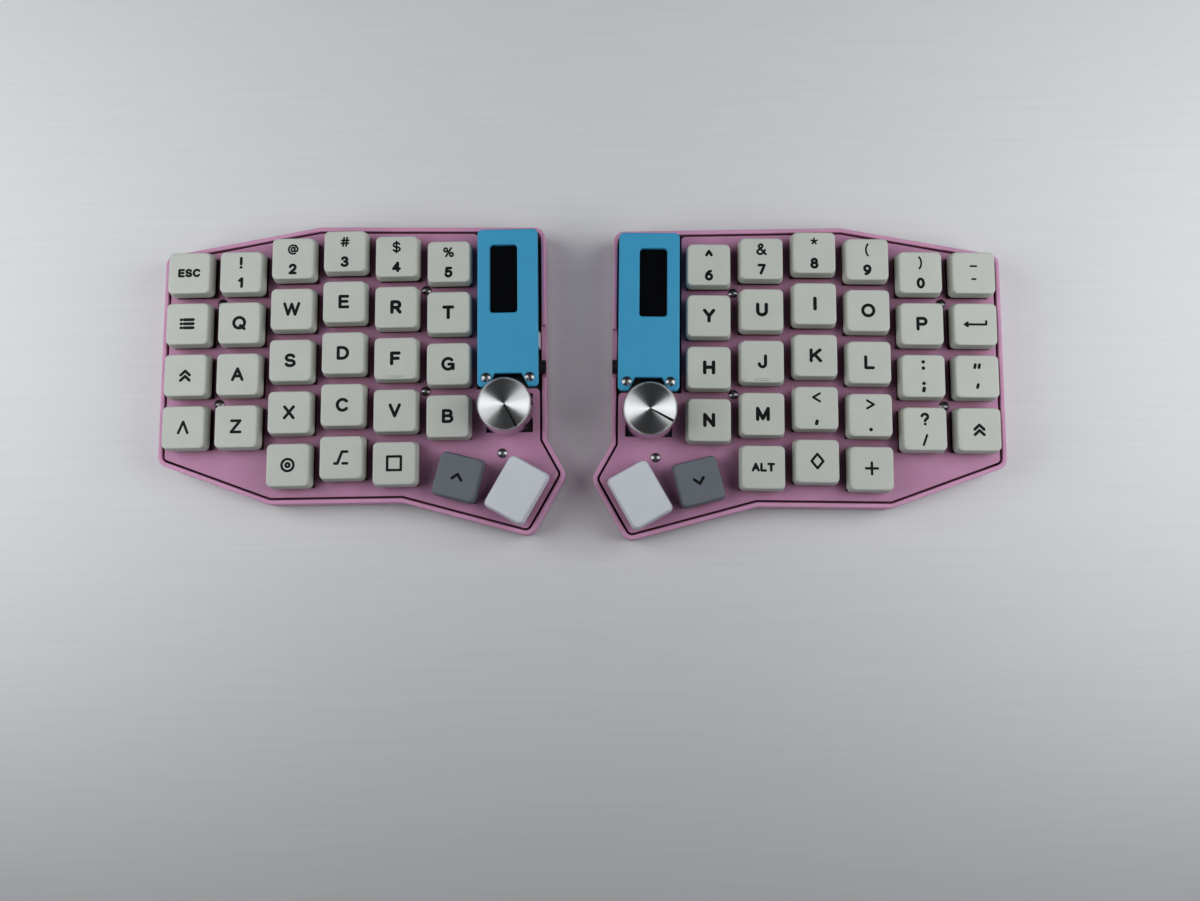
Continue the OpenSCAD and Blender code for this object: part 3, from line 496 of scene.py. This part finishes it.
GLYPHS = {
    "A": line(0, 0, .44, 1, .88, 0) + line(.15, .33, .73, .33),
    "B": line(0, 0, 0, 1, .42, 1) + arc(.42, .765, .27, .235, 90, -90) + line(.46, .53, 0, .53)
    + arc(.46, .265, .31, .265, 90, -90) + line(.46, 0, 0, 0),
    "C": arc(.48, .5, .48, .5, 42, 318),
    "D": line(0, 0, 0, 1, .36, 1) + arc(.36, .5, .5, .5, 90, -90) + line(.36, 0, 0, 0),
    "E": line(.7, 1, 0, 1, 0, 0, .72, 0) + line(0, .52, .64, .52),
    "F": line(.68, 1, 0, 1, 0, 0) + line(0, .5, .6, .5),
    "G": arc(.48, .5, .48, .5, 45, 325) + line(.55, .46, .94, .46, .94, .04),
    "H": line(0, 0, 0, 1) + line(.82, 0, .82, 1) + line(0, .52, .82, .52),
    "I": line(0, 0, 0, 1),
    "J": line(.56, 1, .56, .28) + arc(.28, .28, .28, .28, 0, -180),
    "K": line(0, 0, 0, 1) + line(.8, 1, .03, .36) + line(.3, .6, .84, 0),
    "L": line(0, 1, 0, 0, .66, 0),
    "M": line(0, 0, 0, 1, .48, .06, .96, 1, .96, 0),
    "N": line(0, 0, 0, 1, .8, 0, .8, 1),
    "O": O_RING,
    "P": P_BOWL,
    "Q": O_RING + line(.62, .24, .98, -.06),
    "R": P_BOWL + line(.4, .45, .76, 0),
    "S": S_CURVE,
    "T": line(0, 1, .8, 1) + line(.4, 1, .4, 0),
    "U": line(0, 1, 0, .38) + arc(.4, .38, .4, .38, 180, 360) + line(.8, .38, .8, 1),
    "V": line(0, 1, .42, 0, .84, 1),
    "W": line(0, 1, .32, 0, .64, .96, .96, 0, 1.28, 1),
    "X": line(0, 0, .8, 1) + line(0, 1, .8, 0),
    "Y": line(0, 1, .42, .46, .84, 1) + line(.42, .46, .42, 0),
    "Z": line(.02, 1, .78, 1, 0, 0, .8, 0),
    "0": ring(.32, .5, .32, .5),
    "1": line(.05, .74, .34, 1, .34, 0),
    "2": arc(.33, .69, .31, .31, 165, -32) + line(.593, .526, .02, 0, .66, 0),
    "3": arc(.31, .76, .28, .24, 160, -90) + arc(.31, .26, .33, .26, 90, -160),
    "4": line(.52, 0, .52, 1, 0, .27, .74, .27),
    "5": line(.6, 1, .12, 1, .06, .5) + arc(.31, .315, .33, .315, 142, -160),
    "6": ring(.34, .32, .32, .32) + arc(.62, .34, .6, .66, 180, 98),
    "7": line(0, 1, .66, 1, .24, 0),
    "8": ring(.33, .76, .26, .24) + ring(.33, .27, .32, .27),
    "9": ring(.33, .68, .32, .32) + arc(.05, .66, .6, .66, 0, -82),
    "!": line(0, 1, 0, .36) + dot(0, 0),
    "@": ring(.52, .46, .2, .25) + arc(.9, .42, .17, .2, 180, 350) + arc(.54, .46, .54, .54, -4, 300)
    + line(.73, .68, .73, .4),
    "#": line(.22, 0, .34, 1) + line(.58, 0, .7, 1) + line(.06, .67, .88, .67) + line(.02, .33, .84, .33),
    "$": S_CURVE + line(.37, -.14, .37, 1.14),
    "%": ring(.2, .78, .19, .22) + ring(.88, .22, .19, .22) + line(.84, 1, .24, 0),
    "^": line(0, .52, .29, 1, .58, .52),
    "&": curve(.86, 0, .24, .66, .2, .86, .38, 1, .55, .85, .42, .62, .1, .38, .04, .18, .26, 0, .55, .1,
               .78, .42),
    "*": [np.array([[.3, .7], [.3 + .3 * math.cos(a), .7 + .3 * math.sin(a)]]) for a in ARM_ANGLES],
    "(": arc(.5, .5, .5, .72, 128, 232),
    ")": arc(-.2, .5, .5, .72, 52, -52),
    "long_dash": line(0, .18, .6, .18),
    "dash": line(.1, .97, .46, .97),
    ":": dot(0, 1) + dot(0, .28),
    ";": dot(.04, .9) + line(.05, .34, -.02, .06),
    "double_quote": line(.14, .74, .06, .38) + line(.62, .74, .54, .38),
    "quote": line(.1, .84, 0, .48),
    "<": line(.62, .95, 0, .58, .62, .2),
    ">": line(0, .95, .62, .58, 0, .2),
    ",": line(.06, .26, -.02, -.04),
    ".": dot(0, .1),
    "?": arc(.3, .73, .29, .27, 168, -58) + line(.453, .501, .32, .36, .32, .32) + dot(.32, 0),
    "/": line(.03, 0, .4, 1),
    "list": sum((dot(0, y) + line(.3, y, 1.22, y) for y in (.08, .5, .92)), []),
    "double_chevron": line(*CHEVRON) + line(*(np.array(CHEVRON) + (0, .5) * 3)),
    "caret": line(0, 0, .4, .98, .8, 0),
    "disc_ring": O_RING + ring(.5, .5, .16, .16),
    "slope": line(0, 0, .24, 0, .62, 1, 1.06, 1) + line(.7, 0, 1.06, 0),
    "square": line(0, 0, 1, 0, 1, 1, 0, 1, 0, 0),
    "diamond": line(.42, -.02, .84, .5, .42, 1.02, 0, .5, .42, -.02),
    "plus": line(.5, 0, .5, 1) + line(0, .5, 1, .5),
    "enter": line(3.5, 1, 3.5, .45, .06, .45) + line(.5, .76, .04, .45, .5, .14),
    "small_caret": line(0, .27, .42, .73, .84, .27),
    "small_vee": line(0, .73, .42, .27, .84, .73),
}


def legend(glyphs, height, stroke, y=0.0):
    """Strokes of glyphs side by side, centred at y: centre lines in millimetres with the stroke's width."""
    scale = height - stroke
    strokes, reach = [], 0.0
    for glyph in glyphs:
        paths = GLYPHS[glyph]
        low = min(p[:, 0].min() for p in paths)
        high = max(p[:, 0].max() for p in paths)
        strokes += [(p + (reach - low, 0)) * scale for p in paths]
        reach += high - low + GLYPH_GAP
    middle = ((reach - GLYPH_GAP) * scale / 2, scale / 2 - y)
    return [(p - middle, stroke) for p in strokes]


def ribbon(path, stroke, step):
    """A flat stroke along the cap's top: its width falls to nothing along a half circle at its ends."""
    half = stroke / 2
    closed = len(path) > 2 and np.allclose(path[0], path[-1])
    if closed:
        path = path[:-1]
        slope = np.roll(path, -1, 0) - np.roll(path, 1, 0)
        width = np.full(len(path), half)
    else:
        bend = np.linspace(0, math.pi / 2, 5)
        slope = np.gradient(path, axis=0)
        slope /= np.linalg.norm(slope, axis=1, keepdims=True)
        head = path[0] - slope[0] * half * np.cos(bend)[:, None]
        tail = path[-1] + slope[-1] * half * np.sin(bend)[:, None]
        slope = np.concatenate([np.repeat(slope[:1], 5, 0), slope[1:-1], np.repeat(slope[-1:], 5, 0)])
        width = np.concatenate([half * np.sin(bend), np.full(len(path) - 2, half), half * np.cos(bend)])
        path = np.concatenate([head, path[1:-1], tail])
    slope /= np.linalg.norm(slope, axis=1, keepdims=True)
    across = np.stack([-slope[:, 1], slope[:, 0]], 1) * width[:, None]
    edges = np.stack([path + across, path + across, path - across, path - across], 1)
    lift = np.array([-INK_SINK, INK_LIFT, INK_LIFT, -INK_SINK]) + step * INK_STEP
    top = top_height(edges[:, :, 0], edges[:, :, 1])
    return np.concatenate([edges, (top + lift)[:, :, None]], 2), closed


# Where the keys stand, from the imported solids


def middle_of(node):
    """Middle of a solid's box, in millimetres."""
    low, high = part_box(node)
    return np.array((low + high) / 2) / MM


CAP_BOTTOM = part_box("key_q")[1][2] / MM - CAP_HEIGHT
PITCH = math.dist(middle_of("key_q")[:2], middle_of("key_a")[:2])
LONG_HALF = CAP_HALF + (0, PITCH * (LONG_KEY_UNITS - 1) / 2)
NAMES = {";": "semicolon", ",": "comma", ".": "period", "/": "slash"}
LETTERS = {"left": ("qwert", "asdfg", "zxcvb"), "right": ("poiuy", ";lkjh", "/.,mn")}
PAIRS = {";": (":", ";"), ",": ("<", ","), ".": (">", "."), "/": ("?", "/")}
NUMBERS = {
    "left": (None, ("!", "1"), ("@", "2"), ("#", "3"), ("$", "4"), ("%", "5")),
    "right": (("long_dash", "dash"), (")", "0"), ("(", "9"), ("*", "8"), ("&", "7"), ("^", "6")),
}
# Strokes of the letters whose stems or slants differ from the rest
LETTER_STROKES = {
    "F": 1.24, "H": 1.28, "I": 1.3, "M": 1.24, "N": 1.28, "R": 1.26, "T": 1.22, "U": 1.26, "Y": 1.22,
    "A": 1.1, "W": 1.05, "X": 1.06, "Z": 1.03,
}
# Height and stroke of the signs that differ from the digits
SIGN_SIZES = {
    "!": (4.5, 1.05), "@": (3.7, 0.68), "#": (3.8, 0.7), "$": (3.9, 0.7), "%": (3.8, 0.7), "&": (4.5, 0.8),
    "(": (4.4, 0.66), ")": (4.4, 0.66), ":": (4.4, 1.25), ";": (4.4, 1.25), "<": (4.6, 0.8), ">": (4.6, 0.8),
    ",": (4.4, 1.2), ".": (4.4, 1.3), "?": (4.6, 1.0), "/": (4.3, 0.8), "*": (4.4, 0.62),
    "long_dash": (4.1, 0.7), "dash": (4.1, 0.7),
}


def single(glyph, height=LETTER_HEIGHT, stroke=STROKE):
    """A legend of one glyph in the middle."""
    return legend([glyph], height, stroke)


def letter_legend(letter):
    """A letter in the middle with its own stroke."""
    return single(letter, stroke=LETTER_STROKES.get(letter, STROKE))


def pair(upper, lower):
    """A legend of two glyphs, one above the other."""
    usual = (PAIR_HEIGHT, PAIR_STROKE)
    return (legend([upper], *SIGN_SIZES.get(upper, usual), y=PAIR_UP)
            + legend([lower], *SIGN_SIZES.get(lower, usual), y=-PAIR_DOWN))


def word(letters):
    """A short word in small letters."""
    return legend(list(letters), WORD_HEIGHT, WORD_STROKE)


OUTER_LEGENDS = {
    "left": (single("list", 4.7, 1.12), single("double_chevron", 4.9, 1.04), single("caret", 5.1, 0.94)),
    "right": (single("enter", 3.0, 0.8), pair("double_quote", "quote"), single("double_chevron", 4.9, 1.04)),
}
LOWER_LEGENDS = {
    "left": (single("disc_ring", 5.2, 0.9), single("slope", 5.2, 1.0), single("square", 5.8, 0.92)),
    "right": (single("plus", 5.0, 0.9), single("diamond", 5.8, 0.9), word("ALT")),
}


def key_surfaces(place, legend_strokes, half=CAP_HALF, turn=0.0, homing=False):
    """Cap, slider and inked strokes of one key, turned about its middle and set in its place."""
    surfaces = [(keycap(half), 0, False), (slider(), 2, False)]
    if homing:
        surfaces.append((lens((0, HOMING_FRONT - half[1], CAP_HEIGHT - HOMING_SINK), HOMING_LIP), 0, False))
    for step, (path, stroke) in enumerate(legend_strokes):
        rings, closed = ribbon(path, stroke, step)
        surfaces.append((rings, 1, closed))
    c, s = math.cos(math.radians(turn)), math.sin(math.radians(turn))
    spin = np.array([[c, -s, 0], [s, c, 0], [0, 0, 1]])
    shift = np.array([place[0], place[1], CAP_BOTTOM])
    return [(rings @ spin.T + shift, number, closed) for rings, number, closed in surfaces]


def letter_key(letter, turn):
    """One letter or sign key on its own body."""
    node = "key_" + NAMES.get(letter, letter)
    strokes = pair(*PAIRS[letter]) if letter in PAIRS else letter_legend(letter.upper())
    surfaces = key_surfaces(middle_of(node), strokes, turn=turn, homing=letter in "fj")
    make(node + "_cap", surfaces, (CAP, INK, SLIDER_PLASTIC), node, "cap", node)


def half_keys(half):
    """All keys of a half: letters one by one, number and modifier keys as they move, and two thumb keys."""
    outward = -1 if half == "left" else 1
    rows = LETTERS[half]
    upper, home, lower = ([middle_of("key_" + NAMES.get(k, k)) for k in row] for row in rows)
    above = upper[0] - home[0]
    beside = outward * np.array([above[1], -above[0], 0])
    turn = math.degrees(math.atan2(-above[0], above[1]))
    for letter in "".join(rows):
        letter_key(letter, turn)
    numbers = []
    for place, signs in zip([upper[0] + beside] + upper, NUMBERS[half]):
        numbers += key_surfaces(place + above, pair(*signs) if signs else word("ESC"), turn=turn)
    make(half + "_number_caps", numbers, (CAP, INK, SLIDER_PLASTIC), half + "_number_keys", "cap",
         half + "_number_keys")
    modifiers = []
    for row, strokes in zip((upper, home, lower), OUTER_LEGENDS[half]):
        modifiers += key_surfaces(row[0] + beside, strokes, turn=turn)
    for place, strokes in zip(lower[1:4], LOWER_LEGENDS[half]):
        modifiers += key_surfaces(place - above, strokes, turn=turn)
    make(half + "_modifier_caps", modifiers, (CAP, INK, SLIDER_PLASTIC), half + "_modifier_keys", "cap",
         half + "_modifier_keys")
    sign = "small_caret" if half == "left" else "small_vee"
    layer = half + "_layer_key"
    strokes = single(sign, *LAYER_SIGN)
    make(layer + "_cap", key_surfaces(middle_of(layer), strokes, turn=turn + outward * THUMB_TURN),
         (GREY_CAP, INK, SLIDER_PLASTIC), layer, "grey_cap", layer)
    space = half + "_space_key"
    make(space + "_cap", key_surfaces(middle_of(space), [], LONG_HALF, turn + outward * LONG_THUMB_TURN),
         (WHITE_CAP, INK, SLIDER_PLASTIC), space, "thumb_cap", space)


def knob(half, pointer):
    """Turned knob: a side view carried round its axis, ribs as a zigzag up to the top's edge, and an inked
    pointer line."""
    node = half + "_knob"
    low, high = (np.array(corner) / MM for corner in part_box(node))
    middle, height = (low + high) / 2, high[2] - low[2]
    outer = (high[0] - low[0]) / 2
    rim = outer - RIB_DEPTH
    edge = rim - KNOB_BEVEL
    side = np.linspace(0, 1, KNOB_SIDE_ROWS)
    below = [0, RECESS_RADIUS, RECESS_RADIUS, edge, rim]
    radius = np.concatenate([below, np.full(KNOB_SIDE_ROWS + 1, rim), np.linspace(edge, 0, KNOB_TOP_ROWS)])
    level = np.concatenate([[RECESS_DEPTH, RECESS_DEPTH, 0, 0, KNOB_BEVEL],
                            RIB_MARGIN + (height - 2 * RIB_MARGIN) * side, [height - KNOB_BEVEL],
                            np.full(KNOB_TOP_ROWS, height)])
    ribbed = np.concatenate([np.zeros(len(below)), np.ones(KNOB_SIDE_ROWS + 2), np.zeros(KNOB_TOP_ROWS - 1)])
    finish = np.where(np.arange(len(radius) - 1) < len(radius) - KNOB_TOP_ROWS, 2, 0)
    angle = np.linspace(0, 2 * math.pi, KNOB_RIBS * RIB_POINTS, endpoint=False)[None, :]
    wave = RIB_DEPTH * np.abs(1 - np.mod(KNOB_RIBS * angle / math.pi, 2))
    reach = radius[:, None] + ribbed[:, None] * wave
    rings = np.stack([reach * np.cos(angle), reach * np.sin(angle),
                      np.broadcast_to(level[:, None], reach.shape)], 2)
    surfaces = [(rings + (middle[0], middle[1], low[2]), finish, False)]
    towards = np.array([math.cos(math.radians(pointer)), math.sin(math.radians(pointer))])
    across = np.array([-towards[1], towards[0]]) * POINTER_WIDTH / 2 * np.array([[POINTER_TAPER], [1.0]])
    ends = middle[:2] + np.array([[0.0], [rim]]) * towards
    edges = np.stack([ends + across, ends + across, ends - across, ends - across], 1)
    lift = high[2] + np.array([-POINTER_SINK, POINTER_LIFT, POINTER_LIFT, -POINTER_SINK])
    strip = np.concatenate([edges, np.broadcast_to(lift, (2, 4))[:, :, None]], 2)
    tips = np.repeat(strip.mean(1, keepdims=True), 4, 1)
    strip = np.concatenate([tips[:1], strip, tips[1:]])
    surfaces.append((strip, 1, False))
    make(half + "_turned_knob", surfaces, (KNOB_METAL, INK, RIB_METAL), node, "knob", node)


def solid_of(node):
    """A solid's points and triangles, points that lie together joined, and which triangles make its flat
    top."""
    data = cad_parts[node].data
    data.calc_loop_triangles()
    points = np.empty(3 * len(data.vertices))
    corners = np.empty(3 * len(data.loop_triangles), np.int32)
    data.vertices.foreach_get("co", points)
    data.loop_triangles.foreach_get("vertices", corners)
    points = points.reshape(-1, 3) / MM
    _, first, joined = np.unique(np.round(points, 3), axis=0, return_index=True, return_inverse=True)
    points, triangles = points[first], joined.ravel()[corners].reshape(-1, 3)
    whole = (triangles != np.roll(triangles, 1, 1)).all(1)
    flat = (points[triangles][:, :, 2] > points[:, 2].max() - FLAT_WITHIN).all(1)
    return points, triangles[whole], flat[whole]


def borders(triangles):
    """Closed borders of a sheet of triangles: edges that no neighbour runs back along, joined end to end."""
    edges = set(map(tuple, triangles[:, [[0, 1], [1, 2], [2, 0]]].reshape(-1, 2).tolist()))
    after = {a: b for a, b in edges if (b, a) not in edges}
    loops = []
    while after:
        spot, path = next(iter(after)), []
        while spot in after:
            path.append(spot)
            spot = after.pop(spot)
        loops.append(np.array(path))
    return loops


def inward(path):
    """Shift of each point that moves a closed path's sides one unit to the left: the mitre of two sides."""
    side = np.roll(path, -1, 0) - path
    side /= np.linalg.norm(side, axis=1, keepdims=True)
    left = np.stack([-side[:, 1], side[:, 0]], 1)
    both = left + np.roll(left, 1, 0)
    return both / (1 + (left * np.roll(left, 1, 0)).sum(1, keepdims=True))


def softened(node, radius, finish, steps=5):
    """A solid with round edges on its flat top: each border is lowered, and copies of it climb a quarter
    circle while they move in, up to a new flat top between the last copies."""
    points, triangles, flat = solid_of(node)
    top = points[:, 2].max()
    loops = borders(triangles[flat])
    points[np.concatenate(loops), 2] = top - radius
    faces = [triangles[~flat].tolist()]
    stacks, last, start = [points], [], len(points)
    bend = np.linspace(0, math.pi / 2, steps + 1)[1:, None, None]
    for loop in loops:
        path = points[loop, :2]
        rings = path + radius * (1 - np.cos(bend)) * inward(path)
        level = np.broadcast_to(top - radius * (1 - np.sin(bend)), rings.shape[:2] + (1,))
        numbers = np.concatenate([[loop], start + np.arange(steps * len(loop)).reshape(steps, -1)])
        following = np.roll(numbers, -1, 1)
        quads = np.stack([numbers[:-1], following[:-1], following[1:], numbers[1:]], -1)
        faces.append(quads.reshape(-1, 4).tolist())
        stacks.append(np.concatenate([rings, level], 2).reshape(-1, 3))
        last.append(numbers[-1])
        start += steps * len(loop)
    points = np.concatenate(stacks)
    cap = np.array(tessellate_polygon([points[numbers].tolist() for numbers in last]))
    cap = np.concatenate(last)[cap]
    a, b, c = (points[cap[:, i], :2] for i in range(3))
    up = np.cross(b - a, c - a) > 0
    faces.append(np.where(up[:, None], cap, cap[:, ::-1]).tolist())
    mesh = bpy.data.meshes.new(node + "_soft")
    mesh.from_pydata(points * MM, [], sum(faces, []))
    mesh.polygons.foreach_set("use_smooth", np.ones(len(mesh.polygons), bool))
    mesh.set_sharp_from_angle(angle=math.radians(SOFT_SHARP))
    mesh.materials.append(finish)
    piece = new_object(node + "_soft", mesh)
    even = piece.modifiers.new("flat_faces_stay_flat", "WEIGHTED_NORMAL")
    even.weight = 100
    even.keep_sharp = True
    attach(piece, "keyboard")
    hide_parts(node)


def round_holes(node):
    """Middles of the small round holes in a solid's flat top, where screws stand, and the top's height."""
    points, triangles, flat = solid_of(node)
    paths = [points[loop, :2] for loop in borders(triangles[flat])]
    small = [path for path in paths if np.ptp(path, axis=0).max() < HOLE_MOST]
    middles = [(path.min(0) + path.max(0)) / 2 for path in small]
    return middles, points[:, 2].max()


def screw(place, level):
    """Screw: a side view carried round, its head domed as a parabola with a cross of two bars sunk in it."""
    dome = np.linspace(1, 0, 22)
    radius = np.concatenate([[0, SHANK_RADIUS, SHANK_RADIUS, HEAD_RADIUS], HEAD_RADIUS * dome])
    domed = HEAD_SIDE + (HEAD_HEIGHT - HEAD_SIDE) * (1 - dome ** 2)
    height = np.concatenate([[-SHANK_LENGTH, -SHANK_LENGTH, 0, 0], domed])
    angle = np.linspace(0, 2 * math.pi, 96, endpoint=False)[None, :]
    x, y = radius[:, None] * np.cos(angle), radius[:, None] * np.sin(angle)
    z = np.broadcast_to(height[:, None], x.shape)
    bars = [np.clip((CROSS_WIDTH / 2 - np.abs(a)) / CROSS_SIDE + 0.5, 0, 1)
            * np.clip((CROSS_LENGTH / 2 - np.abs(b)) / CROSS_END + 0.5, 0, 1)
            for a, b in ((x + y, x - y), (x - y, x + y))]
    z = z - np.where(height[:, None] > HEAD_SIDE, CROSS_DEPTH * np.maximum(*bars), 0)
    return np.stack([x + place[0], y + place[1], z + level], 2), 0, False


def screws():
    """All screws of both halves: those of the plates and those of the covers."""
    surfaces = []
    for node in ("left_switch_plate", "right_switch_plate", "left_display_cover", "right_display_cover"):
        places, level = round_holes(node)
        surfaces += [screw(place, level) for place in places]
    make("cross_screws", surfaces, (NICKEL,), "keyboard", "steel", "screws")


for half, pointer in (("left", POINTER_LEFT), ("right", POINTER_RIGHT)):
    half_keys(half)
    knob(half, pointer)
    softened(half + "_case", CASE_EDGE, CASE_PLASTIC)
    softened(half + "_switch_plate", PLATE_EDGE, PLATE_PLASTIC, steps=3)
    softened(half + "_display_cover", COVER_EDGE, COVER_PLASTIC)
screws()

# Solids whose shape is already right take a finish only
KEPT = {
    "left_circuit_board": SOLDER_MASK, "right_circuit_board": SOLDER_MASK, "controller_boards": SOLDER_MASK,
    "display_modules": GLASS, "encoder_bodies": STEEL, "left_encoder_shaft": STEEL,
    "right_encoder_shaft": STEEL, "switch_housings": HOUSING_PLASTIC, "cable_jacks": BLACK_PLASTIC,
    "reset_switches": WHITE_CAP, "reset_buttons": WHITE_CAP, "standoffs": BRASS,
    "rubber_feet": RUBBER,
}
for node, material in KEPT.items():
    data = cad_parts[node].data
    data.materials.clear()
    data.materials.append(material)


# Table, lights and camera

FLOOR_HALF = 1.6
STREAK_LENGTH = 50
STREAK_WIDTH = 1.4
STREAK_TURN = 0.05
LAMP_SIZE = 0.4
LAMP_WATTS = 1.47
LAMP_PLACE = Vector((0.345, 0.05, 0.3))
LAMP_AIM = Vector((0, 0.3, 0))
ROOM_STRENGTH = 0.045
CAMERA_PLACE = Vector((14.18, -71.60, 359.96)) * MM
CAMERA_TURN = Vector((0.1289, 0.0187, -0.0021))
FOCAL_PIXELS = 970
PHOTO_WIDTH = 1200
SENSOR_MM = 36


def painted_board():
    """Pale paint over wood: long faint streaks of the grain show through in two near shades."""
    material, tree, shader = new_finish("painted_board")
    place = add(tree, "ShaderNodeTexCoord").outputs["Object"]
    scale = (METRE / STREAK_LENGTH, METRE / STREAK_WIDTH, 1.0)
    along = add(tree, "ShaderNodeMapping", {"Vector": place, "Scale": scale,
                                            "Rotation": (0.0, 0.0, STREAK_TURN)})
    streaks = add(tree, "ShaderNodeTexNoise", {"Vector": along.outputs["Vector"], "Scale": 1.0,
                                               "Detail": 3.0, "Distortion": 0.6})
    shade = add(tree, "ShaderNodeValToRGB", {"Fac": streaks.outputs["Fac"]})
    shade.color_ramp.elements[0].position = 0.3
    shade.color_ramp.elements[0].color = linear("#d4d6d9")
    shade.color_ramp.elements[1].position = 0.7
    shade.color_ramp.elements[1].color = linear("#d8dade")
    shader.inputs["Roughness"].default_value = 0.6
    tree.links.new(shade.outputs["Color"], shader.inputs["Base Color"])
    return material


def table_top():
    """Plain pale floor: a flat grid of two by two points under the feet."""
    ends = np.array([-FLOOR_HALF, FLOOR_HALF])
    x, y = np.meshgrid(ends, ends)
    mesh = bpy.data.meshes.new("table_top")
    mesh.from_pydata(np.stack([x, y, np.zeros_like(x)], 2).reshape(-1, 3), [], [(0, 1, 3, 2)])
    mesh.materials.append(painted_board())
    floor = new_object("table_top", mesh)


def soft_box(name, side):
    """A square soft lamp that faces a point behind the object, so that its light falls off to the front."""
    lamp = bpy.data.lights.new(name, "AREA")
    lamp.shape = "SQUARE"
    lamp.size = LAMP_SIZE
    lamp.energy = LAMP_WATTS
    holder = new_object(name, lamp)
    holder.location = LAMP_PLACE * Vector((side, 1, 1))
    holder.rotation_mode = "QUATERNION"
    holder.rotation_quaternion = (LAMP_AIM - holder.location).to_track_quat("-Z", "Y")


def dim_room():
    """An even dim room all round."""
    world = bpy.data.worlds.new("dim_room")
    world.use_nodes = True
    room = world.node_tree.nodes["Background"]
    room.inputs["Color"].default_value = linear("#d9dde2")
    room.inputs["Strength"].default_value = ROOM_STRENGTH
    bpy.context.scene.world = world


def camera():
    """The photograph's camera: lens from its focal length in pixels, turn from a rotation vector."""
    lens_data = bpy.data.cameras.new("camera")
    lens_data.sensor_fit = "HORIZONTAL"
    lens_data.sensor_width = SENSOR_MM
    lens_data.lens = SENSOR_MM * FOCAL_PIXELS / PHOTO_WIDTH
    holder = new_object("camera", lens_data)
    holder.location = CAMERA_PLACE
    holder.rotation_mode = "AXIS_ANGLE"
    holder.rotation_axis_angle = (CAMERA_TURN.length, *CAMERA_TURN.normalized())
    bpy.context.scene.camera = holder


table_top()
soft_box("left_soft_box", -1)
soft_box("right_soft_box", 1)
dim_room()
camera()
bpy.context.scene.view_settings.view_transform = "Standard"
